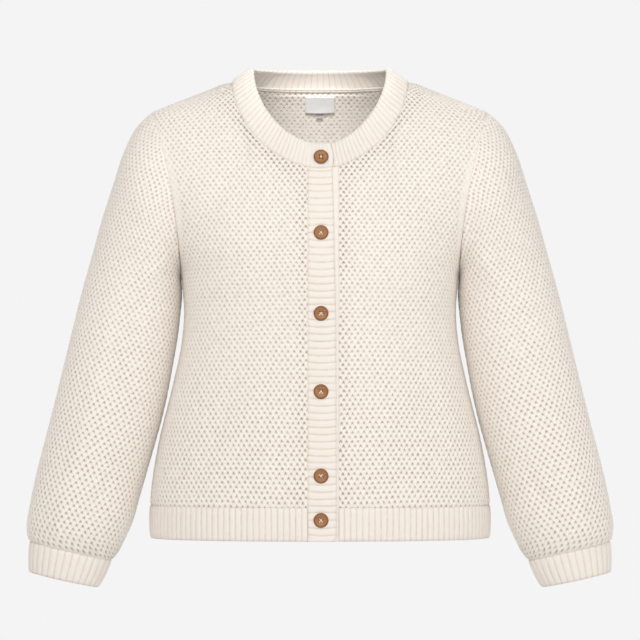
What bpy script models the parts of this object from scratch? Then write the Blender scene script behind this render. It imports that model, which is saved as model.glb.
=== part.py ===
"""Button cardigan, knitted in cotton, filled out as it is when worn and with no wearer.

Metres, +Z up.  The front faces -Y and the wearer's right side is at -X.  The origin lies midway
between the two neck points, where the shoulder seams end and the wearer's shoulders carry it.

The body is one surface, read from a short table of level sections.  The back, the two fronts and
their hem ribs are cut out of it, and the sleeves are rings between an outer and an inner edge.
"""
import math

import bmesh
import bpy
import numpy as np
from mathutils import Matrix, Vector

# --- cloth ------------------------------------------------------------------------------
KNIT = 0.0030  # thickness of the stitched panels
RIB = 0.0026  # thickness of the ribbed borders
SEAM = 0.0003  # gap between two pieces at a seam, or between two layers
LAYER = RIB + SEAM  # how far the buttonhole side lies in front of the button side

# --- levels -----------------------------------------------------------------------------
HEM = -0.562  # lower edge
RIB_TOP = -0.522  # where the hem rib meets the panels
UNDERARM = (0.1665, -0.245)  # half width and height of the underarm point
TIP = (0.2010, -0.0516)  # the shoulder tip, where the sleeve head starts
NECK_POINT = (0.1056, -0.0154)  # the neck end of the shoulder seam

# --- body: one row for each level section -----------------------------------------------
SQUARENESS = 2.3  # 2 is an ellipse, more is squarer
BODY = np.array(
    [
        (HEM, 0.2030, 0.1200, 0.1120),
        (RIB_TOP, 0.2030, 0.1195, 0.1115),
        (-0.4550, 0.1940, 0.1160, 0.1060),
        (-0.3780, 0.1755, 0.1130, 0.1000),
        (-0.3300, 0.1655, 0.1130, 0.0980),
        (-0.2920, 0.1622, 0.1140, 0.0990),
        (-0.2450, 0.1665, 0.1155, 0.1030),
        (-0.2000, 0.1700, 0.1110, 0.1060),
        (-0.1500, 0.1765, 0.0990, 0.1040),
        (-0.1000, 0.1860, 0.0800, 0.0950),
        (-0.0500, 0.2000, 0.0580, 0.0750),
        (0.0000, 0.2000, 0.0300, 0.0500),
    ],
    dtype=[("height", float), ("half_width", float), ("front", float), ("back", float)],
)

# --- armhole ----------------------------------------------------------------------------
ARMHOLE_DEPTH = 0.064  # from the shoulder line forwards, and backwards
ARMHOLE_BOW = 0.007  # how far the seam bows in towards the body

# --- neckline and neckband --------------------------------------------------------------
NECK_FRONT = -0.1225  # centre front of the neckband's seam
NECK_BACK = -0.0250  # centre back of the neckband's seam
NECK_ROUND = {"front": 1.8, "back": 2.0}  # 2 is an ellipse, less comes to a soft point
BAND_EDGE = (0.0798, 0.0010)  # half width and height of the neckband's free edge at the side
BAND_EDGE_FRONT = (-0.0800, -0.0930)  # y and z of the free edge at centre front
BAND_EDGE_BACK = (0.0525, 0.0010)  # the same at centre back
BAND_BOW = 0.0012  # how far the neckband swells between its edges
BAND_EDGE_CURVE = 0.62  # below 1 the free edge runs squarer as it comes round to the front and back

# --- front bands ------------------------------------------------------------------------
TOP_BAND_SEAM = -0.0145  # x of the seam between the buttonhole band and the wearer's right front
UNDER_BAND_SEAM = 0.0225  # x of the seam between the button band and the wearer's left front
UNDER_BAND_EDGE = -0.0130  # x of the button band's free edge, under the buttonhole band
LIFT_START = 0.060  # the right front starts to rise over the left one this far from the middle
LIFT_END = 0.016
TOP_BAND_EDGE = np.array(
    [
        (HEM, 0.0192),
        (-0.4500, 0.0192),
        (-0.3000, 0.0185),
        (-0.2000, 0.0165),
        (NECK_FRONT, 0.0145),
    ],
    dtype=[("height", float), ("x", float)],
)
NECKBAND_END_SWELL = 0.0028  # the neckband's upper end is rounded by this much
BAND_TOP_SHARE = 8  # a front band's rows turn to follow the neckline only near its top

# --- sleeve: one row for each ring, from the armhole to the cuff's seam -----------------
SLEEVE = np.array(
    [
        (TIP[0], TIP[1], UNDERARM[0], UNDERARM[1], ARMHOLE_DEPTH, 0.0000, ARMHOLE_BOW),
        (0.2196, -0.0708, 0.1676, -0.2490, 0.0670, 0.0000, 0.0030),
        (0.2345, -0.1000, 0.1676, -0.2550, 0.0680, -0.0005, 0.0),
        (0.2470, -0.1380, 0.1668, -0.2635, 0.0660, -0.0010, 0.0),
        (0.2592, -0.1760, 0.1667, -0.2745, 0.0625, -0.0020, 0.0),
        (0.2720, -0.2220, 0.1680, -0.2900, 0.0585, -0.0035, 0.0),
        (0.2850, -0.2690, 0.1712, -0.3180, 0.0550, -0.0055, 0.0),
        (0.2995, -0.3280, 0.1775, -0.3560, 0.0525, -0.0080, 0.0),
        (0.3140, -0.3880, 0.1890, -0.4130, 0.0510, -0.0100, 0.0),
        (0.3260, -0.4360, 0.2025, -0.4620, 0.0505, -0.0120, 0.0),
        (0.3385, -0.4850, 0.2168, -0.5120, 0.0500, -0.0140, 0.0),
        (0.3465, -0.5240, 0.2275, -0.5480, 0.0490, -0.0150, 0.0),
        (0.3500, -0.5470, 0.2360, -0.5660, 0.0460, -0.0155, 0.0),
        (0.3490, -0.5590, 0.2425, -0.5785, 0.0410, -0.0160, 0.0),
        (0.3470, -0.5657, 0.2500, -0.5884, 0.0360, -0.0160, 0.0),
    ],
    dtype=[
        ("outer_x", float),
        ("outer_z", float),
        ("inner_x", float),
        ("inner_z", float),
        ("half_depth", float),
        ("middle_y", float),
        ("bow", float),
    ],
)
CUFF = np.array(
    [
        (0.3470, -0.5657, 0.2500, -0.5884, 0.0360, -0.0160, 0.0),
        (0.3476, -0.5840, 0.2575, -0.6046, 0.0335, -0.0165, 0.0),
        (0.3478, -0.6026, 0.2660, -0.6208, 0.0310, -0.0170, 0.0),
    ],
    dtype=SLEEVE.dtype,
)

# --- how finely the faceted cloth is cut ------------------------------------------------
COLUMNS = 9  # across a front, and across half the back
SIDE_ROWS = 8  # from the hem rib to the underarm
ARMHOLE_ROWS = 8  # up one half of an armhole, so a sleeve has twice as many sides
SHOULDER_ROWS = 4
HEM_ROWS = 2
BAND_ROWS = 14
BAND_COLUMNS = 3
QUARTER_STEPS = 97  # points along a section when its length is measured
NECK_STEPS = 400  # points along the neckline when its columns are placed
DEPTH_STEP = 0.004  # half the rise over which the front's slope is measured
CLOTH_CREASE = math.radians(50)  # a wall's rims stay sharp, its faces are smooth

# --- buttons ----------------------------------------------------------------------------
BUTTON_X = 0.0012
BUTTON_HEIGHTS = (-0.1096, -0.1987, -0.2929, -0.3854, -0.4850, -0.5368)
BUTTON_PROFILE = (  # radius and height above the cloth, down the outside from the top's middle
    (0.0, 0.0020),
    (0.0052, 0.0021),
    (0.0066, 0.0030),
    (0.0080, 0.0030),
    (0.0088, 0.0021),
    (0.0084, 0.0008),
    (0.0060, 0.0),
    (0.0, 0.0),
)
BUTTON_SIDES = 24
THREAD_HOLE_RADIUS = 0.0009
THREAD_HOLE_OFFSET = 0.0016
THREAD_HOLE_MIDDLE = 0.0015  # height of the cutting pins' middle
THREAD_HOLE_LENGTH = 0.008
THREAD_HOLE_SIDES = 8
BUTTON_CREASE = math.radians(40)

# --- what is sewn inside the back neck --------------------------------------------------
TAPE_REACH = (0.03, 0.20)  # over this share of the neckband's width
TAPE_THICKNESS = 0.0012
LABEL_SIZE = (0.0358, 0.0200)
LABEL_TOP = -0.0285
LABEL_THICKNESS = 0.0010
TAB_SIZE = (0.0070, 0.0052)
TAB_X = -0.0005

# --- colours: base colour, roughness ----------------------------------------------------
ECRU_KNIT = ((0.83, 0.75, 0.64), 0.9)
ECRU_RIB = ((0.86, 0.79, 0.69), 0.9)
BUTTON_WOOD = ((0.36, 0.17, 0.06), 0.55)
LABEL_SATIN = ((0.90, 0.90, 0.89), 0.5)
TAB_SATIN = ((0.62, 0.63, 0.66), 0.55)


def clear_scene():
    for thing in list(bpy.data.objects):
        bpy.data.objects.remove(thing)


def new_collection(name):
    collection = bpy.data.collections.new(name)
    bpy.context.scene.collection.children.link(collection)
    return collection


def paint(thing, look):
    """Give an object its own material."""
    colour, roughness = look
    material = bpy.data.materials.new(thing.name)
    material.use_nodes = True
    shader = material.node_tree.nodes["Principled BSDF"]
    shader.inputs["Base Color"].default_value = (*colour, 1.0)
    shader.inputs["Roughness"].default_value = roughness
    thing.data.materials.clear()
    thing.data.materials.append(material)


# --- reading the tables -----------------------------------------------------------------


def smooth_read(places, values, at):
    """A smooth curve through a table's column, read at the places asked for."""
    slopes = np.gradient(values, places)
    k = np.clip(np.searchsorted(places, at) - 1, 0, len(places) - 2)
    span = places[k + 1] - places[k]
    t = (at - places[k]) / span
    rise = (2 * t**3 - 3 * t**2 + 1) * values[k] + (3 * t**2 - 2 * t**3) * values[k + 1]
    return rise + span * ((t**3 - 2 * t**2 + t) * slopes[k] + (t**3 - t**2) * slopes[k + 1])


def body_column(column, heights):
    return smooth_read(BODY["height"], BODY[column], heights)


def row_read(rows, values, at):
    """Read each row of values where that row's own scale reaches its place in at."""
    index = np.arange(len(at))
    k = np.clip((rows < at[:, None]).sum(axis=1), 1, rows.shape[1] - 1)
    before, after = rows[index, k - 1], rows[index, k]
    share = (at - before) / np.maximum(after - before, 1e-12)
    share = np.clip(share, 0.0, 1.0)
    return values[index, k - 1] * (1 - share) + values[index, k] * share


# --- the body's surface -----------------------------------------------------------------


def armhole_turn(height):
    """Cosine and sine of the way round the armhole, from the tip to the underarm."""
    middle = (TIP[1] + UNDERARM[1]) / 2
    half = (TIP[1] - UNDERARM[1]) / 2
    up = np.clip((height - middle) / half, -1.0, 1.0)
    return up, np.sqrt(1 - up**2)


def side_edge(heights):
    """Where a section ends: half width and depth on the side seam, armhole or shoulder seam."""
    up, round_ = armhole_turn(heights)
    armhole_x = (TIP[0] + UNDERARM[0]) / 2 + up * (TIP[0] - UNDERARM[0]) / 2
    armhole_x = armhole_x - ARMHOLE_BOW * round_**2
    slope = (TIP[0] - NECK_POINT[0]) / (NECK_POINT[1] - TIP[1])
    shoulder_x = TIP[0] - (heights - TIP[1]) * slope
    below = heights <= UNDERARM[1]
    above = heights >= TIP[1]
    x = np.where(below, body_column("half_width", heights), armhole_x)
    x = np.where(above, shoulder_x, x)
    depth = np.where(below | above, 0.0, ARMHOLE_DEPTH * round_)
    return x, depth


def section(side, heights):
    """Arc length, x and depth along a quarter of the body at each height."""
    edge_x, edge_depth = side_edge(heights)
    depth = body_column(side, heights)
    full = edge_x / (1 - (edge_depth / depth) ** SQUARENESS) ** (1 / SQUARENESS)
    last = np.arcsin(np.clip(edge_x / full, 0.0, 1.0) ** (SQUARENESS / 2))
    angle = last[:, None] * np.linspace(0.0, 1.0, QUARTER_STEPS)
    x = full[:, None] * np.sin(angle) ** (2 / SQUARENESS)
    y = depth[:, None] * np.maximum(np.cos(angle), 0.0) ** (2 / SQUARENESS)
    steps = np.hypot(np.diff(x, axis=1), np.diff(y, axis=1))
    arc = np.concatenate([np.zeros((len(heights), 1)), np.cumsum(steps, axis=1)], axis=1)
    return arc, x, y


def body_points(side, heights, shares, start_x):
    """Points on one side of the body; a share of 0 lies at start_x and 1 on the section's end."""
    arc, x, y = section(side, heights)
    start = row_read(x, arc, np.full(len(heights), start_x))
    place = start + (arc[:, -1] - start) * shares
    facing = -1.0 if side == "front" else 1.0
    return np.stack([row_read(arc, x, place), facing * row_read(arc, y, place), heights], axis=1)


def neck_bottom(side):
    return NECK_FRONT if side == "front" else NECK_BACK


def neck_height(side, x):
    """Height of the neckline's seam at a distance from the middle."""
    power = NECK_ROUND[side]
    rise = (1 - np.clip(np.abs(x) / NECK_POINT[0], 0.0, 1.0) ** power) ** (1 / power)
    return NECK_POINT[1] - (NECK_POINT[1] - neck_bottom(side)) * rise


def neck_heights(side, start_x):
    """Height of the neckline's seam at each column of a panel."""
    turn = np.linspace(0.0, math.pi / 2, NECK_STEPS)
    x = NECK_POINT[0] * np.sin(turn) ** (2 / NECK_ROUND[side])
    x = np.maximum(x, start_x)
    heights = neck_height(side, x)
    arc, across, _ = section(side, heights)
    start = row_read(across, arc, np.full(len(heights), start_x))
    share = (row_read(across, arc, x) - start) / (arc[:, -1] - start)
    order = np.argsort(share)
    return np.interp(np.linspace(0.0, 1.0, COLUMNS + 1), share[order], heights[order])


def edge_heights():
    """Heights of the rows along a panel's outer edge, from the hem to the neck point."""
    hem = np.linspace(HEM, RIB_TOP, HEM_ROWS + 1)
    side = np.linspace(RIB_TOP, UNDERARM[1], SIDE_ROWS + 1)[1:]
    turn = np.linspace(math.pi, 0.0, ARMHOLE_ROWS + 1)[1:]
    armhole = (TIP[1] + UNDERARM[1]) / 2 + np.cos(turn) * (TIP[1] - UNDERARM[1]) / 2
    shoulder = np.linspace(TIP[1], NECK_POINT[1], SHOULDER_ROWS + 1)[1:]
    return np.concatenate([hem, side, armhole, shoulder])


def body_grid(side, start_x):
    """One half of the front or back, hem rib and panel together: rows up, columns outwards."""
    edge = edge_heights()
    neck = neck_heights(side, start_x)
    shares = np.linspace(0.0, 1.0, COLUMNS + 1)
    reach = np.clip((edge - UNDERARM[1]) / (NECK_POINT[1] - UNDERARM[1]), 0.0, 1.0)
    heights = edge[:, None] + reach[:, None] * (neck - NECK_POINT[1])[None, :]
    grid_shares = np.broadcast_to(shares, heights.shape)
    points = body_points(side, heights.ravel(), grid_shares.ravel(), start_x)
    return points.reshape(len(edge), COLUMNS + 1, 3)


# --- grids, normals and walls -----------------------------------------------------------


def unit(vectors):
    return vectors / np.maximum(np.linalg.norm(vectors, axis=-1, keepdims=True), 1e-12)


def grid_normals(grid, outwards, ring=False):
    """Normals of a grid of points, turned to the side that outwards(points) points to."""
    rows = np.gradient(grid, axis=0)
    if ring:
        columns = np.roll(grid, -1, axis=1) - np.roll(grid, 1, axis=1)
    else:
        columns = np.gradient(grid, axis=1)
    normals = unit(np.cross(columns, rows))
    flip = np.sum(normals * outwards(grid), axis=-1, keepdims=True) < 0
    return np.where(flip, -normals, normals)


def away_from_middle(grid):
    return grid * np.array([1.0, 1.6, 0.0]) + np.array([0.0, 0.0, 0.02])


def inset(grid, edge):
    """Draw one edge of a grid back by half a seam gap, square to the edge and along the cloth."""
    view = {"first_row": grid, "last_row": grid[::-1]}
    view["first_column"] = grid.transpose(1, 0, 2)
    view["last_column"] = view["first_column"][::-1]
    rows = view[edge]
    along = unit(np.gradient(rows[0], axis=0))
    inwards = rows[1] - rows[0]
    inwards = inwards - along * np.sum(inwards * along, axis=1, keepdims=True)
    rows[0] += unit(inwards) * (SEAM / 2)


def inset_ring(grid, first, gap=SEAM / 2):
    """The same for one end of a tube."""
    rows = grid if first else grid[::-1]
    along = unit(np.roll(rows[0], -1, axis=0) - np.roll(rows[0], 1, axis=0))
    inwards = rows[1] - rows[0]
    inwards = inwards - along * np.sum(inwards * along, axis=1, keepdims=True)
    rows[0] += unit(inwards) * gap


def wall(name, collection, outer, normals, thickness, look, ring=False, open_start=False):
    """A wall of cloth behind a grid of points: outer face, inner face and the rims between them.

    A ring closes on itself across its columns.  open_start leaves the first column without a rim,
    for a half that a Mirror modifier completes.
    """
    rows, columns = outer.shape[:2]
    inner = outer - normals * thickness
    vertices = np.concatenate([outer.reshape(-1, 3), inner.reshape(-1, 3)])
    size = rows * columns
    faces = []
    spans = columns if ring else columns - 1
    for r in range(rows - 1):
        for c in range(spans):
            d = (c + 1) % columns
            face = [r * columns + c, r * columns + d, (r + 1) * columns + d, (r + 1) * columns + c]
            faces.append(face)
            faces.append([k + size for k in reversed(face)])
    for r in (0, rows - 1):
        for c in range(spans):
            a, b = r * columns + c, r * columns + (c + 1) % columns
            rim = [b, a, a + size, b + size]
            faces.append(rim if r == 0 else rim[::-1])
    if not ring:
        for c in (0, columns - 1):
            if c == 0 and open_start:
                continue
            for r in range(rows - 1):
                a, b = r * columns + c, (r + 1) * columns + c
                rim = [a, b, b + size, a + size]
                faces.append(rim if c == 0 else rim[::-1])
    mesh = bpy.data.meshes.new(name)
    mesh.from_pydata(vertices.tolist(), [], faces)
    edit = bmesh.new()
    edit.from_mesh(mesh)
    bmesh.ops.recalc_face_normals(edit, faces=edit.faces)
    bmesh.ops.triangulate(edit, faces=edit.faces)
    edit.to_mesh(mesh)
    edit.free()
    mesh.shade_smooth()
    mesh.set_sharp_from_angle(angle=CLOTH_CREASE)
    piece = bpy.data.objects.new(name, mesh)
    collection.objects.link(piece)
    paint(piece, look)
    return piece


def mirror(piece):
    """Complete a half that is open at the middle plane."""
    modifier = piece.modifiers.new("Mirror", "MIRROR")
    modifier.use_axis = (True, False, False)
    modifier.use_clip = True
    modifier.merge_threshold = 0.0001


def meet(first, second):
    """One shared direction through the cloth for two edges that are sewn together."""
    shared = unit(first + second)
    first[...] = shared
    second[...] = shared


def mirrored(grid):
    return grid * np.array([-1.0, 1.0, 1.0])


# --- the two layers at the front --------------------------------------------------------


def front_lift(x):
    """How far the wearer's right side stands in front of the body's surface, at x."""
    share = np.clip((x + LIFT_START) / (LIFT_START - LIFT_END), 0.0, 1.0)
    return LAYER * share**2 * (3 - 2 * share)


def lift(grid, normals):
    return grid + normals * front_lift(grid[..., 0])[..., None]


# --- sleeves ----------------------------------------------------------------------------


def sleeve_rings(table):
    """Rings of the wearer's left sleeve; the first point of each lies on its outer edge."""
    turn = np.linspace(0.0, 2 * math.pi, 2 * ARMHOLE_ROWS, endpoint=False)
    rings = []
    for row in table:
        middle_x = (row["outer_x"] + row["inner_x"]) / 2
        middle_z = (row["outer_z"] + row["inner_z"]) / 2
        half_x = (row["outer_x"] - row["inner_x"]) / 2
        half_z = (row["outer_z"] - row["inner_z"]) / 2
        x = middle_x + half_x * np.cos(turn) - row["bow"] * np.sin(turn) ** 2
        y = row["middle_y"] - row["half_depth"] * np.sin(turn)
        z = middle_z + half_z * np.cos(turn)
        rings.append(np.stack([x, y, z], axis=1))
    return np.array(rings)


def away_from_axis(grid):
    return grid - grid.mean(axis=1, keepdims=True)


# --- neckband ---------------------------------------------------------------------------


def free_edge(seam, side):
    """The neckband's free edge, opposite each point of its seam."""
    power = NECK_ROUND[side]
    drop = NECK_POINT[1] - neck_bottom(side)
    across = np.clip(np.abs(seam[:, 0]) / NECK_POINT[0], 0.0, 1.0) ** (power / 2)
    down = np.clip((NECK_POINT[1] - seam[:, 2]) / drop, 0.0, 1.0) ** (power / 2)
    turn = np.arctan2(across, down)
    middle_y, middle_z = BAND_EDGE_FRONT if side == "front" else BAND_EDGE_BACK
    x = np.sign(seam[:, 0]) * BAND_EDGE[0] * np.sin(turn) ** (2 / power)
    y = middle_y * np.maximum(np.cos(turn), 0.0) ** BAND_EDGE_CURVE
    z = BAND_EDGE[1] + (middle_z - BAND_EDGE[1]) * np.maximum(np.cos(turn), 0.0) ** (2 / power)
    return np.stack([x, y, z], axis=1)


def build_neckband(right, left, back, over_top, under_top):
    """From the buttonhole end round the back of the neck to the button end, in one strip.

    The arguments are the upper edges of the panels and front bands, which it is sewn to.
    """
    front_seams = [
        np.concatenate([over_top[:0:-1], right]),
        np.concatenate([left[::-1], under_top[-2::-1]]),
    ]
    seam = np.concatenate([front_seams[0], back[1:-1], front_seams[1]])
    edge = np.concatenate(
        [
            free_edge(front_seams[0], "front"),
            free_edge(back[1:-1], "back"),
            free_edge(front_seams[1], "front"),
        ]
    )
    grid = np.stack([seam, (seam + edge) / 2, edge])
    normals = grid_normals(grid, away_from_middle)
    on_right = np.arange(grid.shape[1]) < len(front_seams[0])
    rise = front_lift(grid[1:, :, 0]) * on_right
    rise[0] = rise[0] / 2 + BAND_BOW
    grid[1:] += normals[1:] * rise[..., None]
    grid[1, 0, 0] += NECKBAND_END_SWELL
    return grid, normals


# --- buttons ----------------------------------------------------------------------------


def button_mesh(collection, cutters):
    """A turned button with a raised rim and four thread holes."""
    profile = bpy.data.meshes.new("button")
    points = [(radius, 0.0, height) for radius, height in BUTTON_PROFILE]
    profile.from_pydata(points, [(k, k + 1) for k in range(len(points) - 1)], [])
    blank = bpy.data.objects.new("button", profile)
    collection.objects.link(blank)
    screw = blank.modifiers.new("Screw", "SCREW")
    screw.steps = BUTTON_SIDES
    screw.render_steps = BUTTON_SIDES
    screw.use_merge_vertices = True
    screw.merge_threshold = 0.00001
    pins = bpy.data.meshes.new("thread_holes")
    edit = bmesh.new()
    for k in range(4):
        turn = math.pi / 4 + k * math.pi / 2
        place = Vector((math.cos(turn), math.sin(turn), 0.0)) * THREAD_HOLE_OFFSET * math.sqrt(2)
        place.z = THREAD_HOLE_MIDDLE
        bmesh.ops.create_cone(
            edit,
            cap_ends=True,
            segments=THREAD_HOLE_SIDES,
            radius1=THREAD_HOLE_RADIUS,
            radius2=THREAD_HOLE_RADIUS,
            depth=THREAD_HOLE_LENGTH,
            matrix=Matrix.Translation(place),
        )
    edit.to_mesh(pins)
    edit.free()
    cutter = bpy.data.objects.new("thread_holes", pins)
    cutters.objects.link(cutter)
    cutter.hide_render = True
    cutter.display_type = "WIRE"
    holes = blank.modifiers.new("Thread holes", "BOOLEAN")
    holes.operation = "DIFFERENCE"
    holes.object = cutter
    bpy.context.view_layer.update()
    graph = bpy.context.evaluated_depsgraph_get()
    finished = bpy.data.meshes.new_from_object(blank.evaluated_get(graph))
    bpy.data.objects.remove(blank)
    finished.shade_smooth()
    finished.set_sharp_from_angle(angle=BUTTON_CREASE)
    return finished


def band_face(height):
    """Point and outward normal of the buttonhole side's face, at the buttons' line."""
    if height > NECK_FRONT:
        seam = Vector((BUTTON_X, -body_column("front", np.array([NECK_FRONT]))[0], NECK_FRONT))
        edge = Vector((BUTTON_X, *BAND_EDGE_FRONT))
        point = seam.lerp(edge, (height - seam.z) / (edge.z - seam.z))
        slope = edge - seam
        swell = BAND_BOW
    else:
        levels = np.array([height - DEPTH_STEP, height, height + DEPTH_STEP])
        depths = -body_column("front", levels)
        point = Vector((BUTTON_X, depths[1], height))
        slope = Vector((0.0, depths[2] - depths[0], 2 * DEPTH_STEP))
        swell = 0.0
    normal = Vector((0.0, -slope.z, slope.y)).normalized()
    return point + normal * (LAYER + SEAM + swell), normal


def build_buttons(collection, cutters):
    mesh = button_mesh(collection, cutters)
    for number, height in enumerate(BUTTON_HEIGHTS, start=1):
        point, normal = band_face(height)
        button = bpy.data.objects.new(f"button_{number}", mesh.copy())
        collection.objects.link(button)
        turn = normal.to_track_quat("Z", "Y").to_matrix().to_4x4()
        button.matrix_world = Matrix.Translation(point) @ turn
        paint(button, BUTTON_WOOD)


# --- front bands ------------------------------------------------------------------------


def band_grid(left_x, right_x):
    """Four columns down a front band; left_x and right_x are functions of the height."""
    shares = np.linspace(0.0, 1.0, BAND_ROWS + 1)
    grid = np.empty((BAND_ROWS + 1, BAND_COLUMNS + 1, 3))
    for column, place in enumerate(np.linspace(0.0, 1.0, BAND_COLUMNS + 1)):
        heights = HEM + (NECK_FRONT - HEM) * shares
        x = left_x(heights) * (1 - place) + right_x(heights) * place
        heights = heights + (neck_height("front", x) - NECK_FRONT) * shares**BAND_TOP_SHARE
        for row in range(BAND_ROWS + 1):
            here = np.array([heights[row]])
            grid[row, column] = body_points("front", here, np.zeros(1), abs(x[row]))[0]
        grid[:, column, 0] = x
    normals = grid_normals(grid, away_from_middle)
    normals[..., 0] = 0.0
    return grid, unit(normals)


def front_bands():
    """The buttonhole band lies on the button band with one seam gap between them."""
    over, over_normals = band_grid(
        lambda z: np.full_like(z, TOP_BAND_SEAM),
        lambda z: np.interp(z, TOP_BAND_EDGE["height"], TOP_BAND_EDGE["x"]),
    )
    over = over + over_normals * LAYER
    under, under_normals = band_grid(
        lambda z: np.full_like(z, UNDER_BAND_EDGE),
        lambda z: np.full_like(z, UNDER_BAND_SEAM),
    )
    return over, over_normals, under, under_normals


# --- inside the back neck ---------------------------------------------------------------


def build_tape(collection, band, normals):
    """A narrow tape over the seam allowance, on the inside of the neckband at the back."""
    first = BAND_COLUMNS + COLUMNS + 1
    columns = slice(first, first + 2 * COLUMNS - 1)
    lower, upper = band[0, columns], band[1, columns]
    rows = [lower + (upper - lower) * 2 * share for share in TAPE_REACH]
    through = normals[0, columns]
    grid = np.array(rows) - through * (RIB + SEAM)
    wall("back_neck_tape", collection, grid, np.array([through, through]), TAPE_THICKNESS, ECRU_RIB)


def inside_patch(middle_x, width, top, height):
    """A small grid on the inner face of the back, moved in by one gap."""
    heights = np.linspace(top - height, top, 3)
    x = middle_x + np.linspace(-width / 2, width / 2, 5)
    grid = np.empty((3, 5, 3))
    for row, level in enumerate(heights):
        for column, across in enumerate(x):
            grid[row, column] = body_points("back", np.array([level]), np.zeros(1), abs(across))[0]
            grid[row, column, 0] = across
    normals = grid_normals(grid, away_from_middle)
    return grid - normals * (KNIT + SEAM), normals


def build_labels(collection):
    """A blank woven label under the tape and a blank size tab under it."""
    width, height = LABEL_SIZE
    grid, normals = inside_patch(0.0, width, LABEL_TOP, height)
    wall("neck_label", collection, grid, normals, LABEL_THICKNESS, LABEL_SATIN)
    tab_width, tab_height = TAB_SIZE
    tab_top = LABEL_TOP - height - SEAM
    grid, normals = inside_patch(TAB_X, tab_width, tab_top, tab_height)
    wall("size_tab", collection, grid, normals, LABEL_THICKNESS, TAB_SATIN)


# --- the garment ------------------------------------------------------------------------


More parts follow.
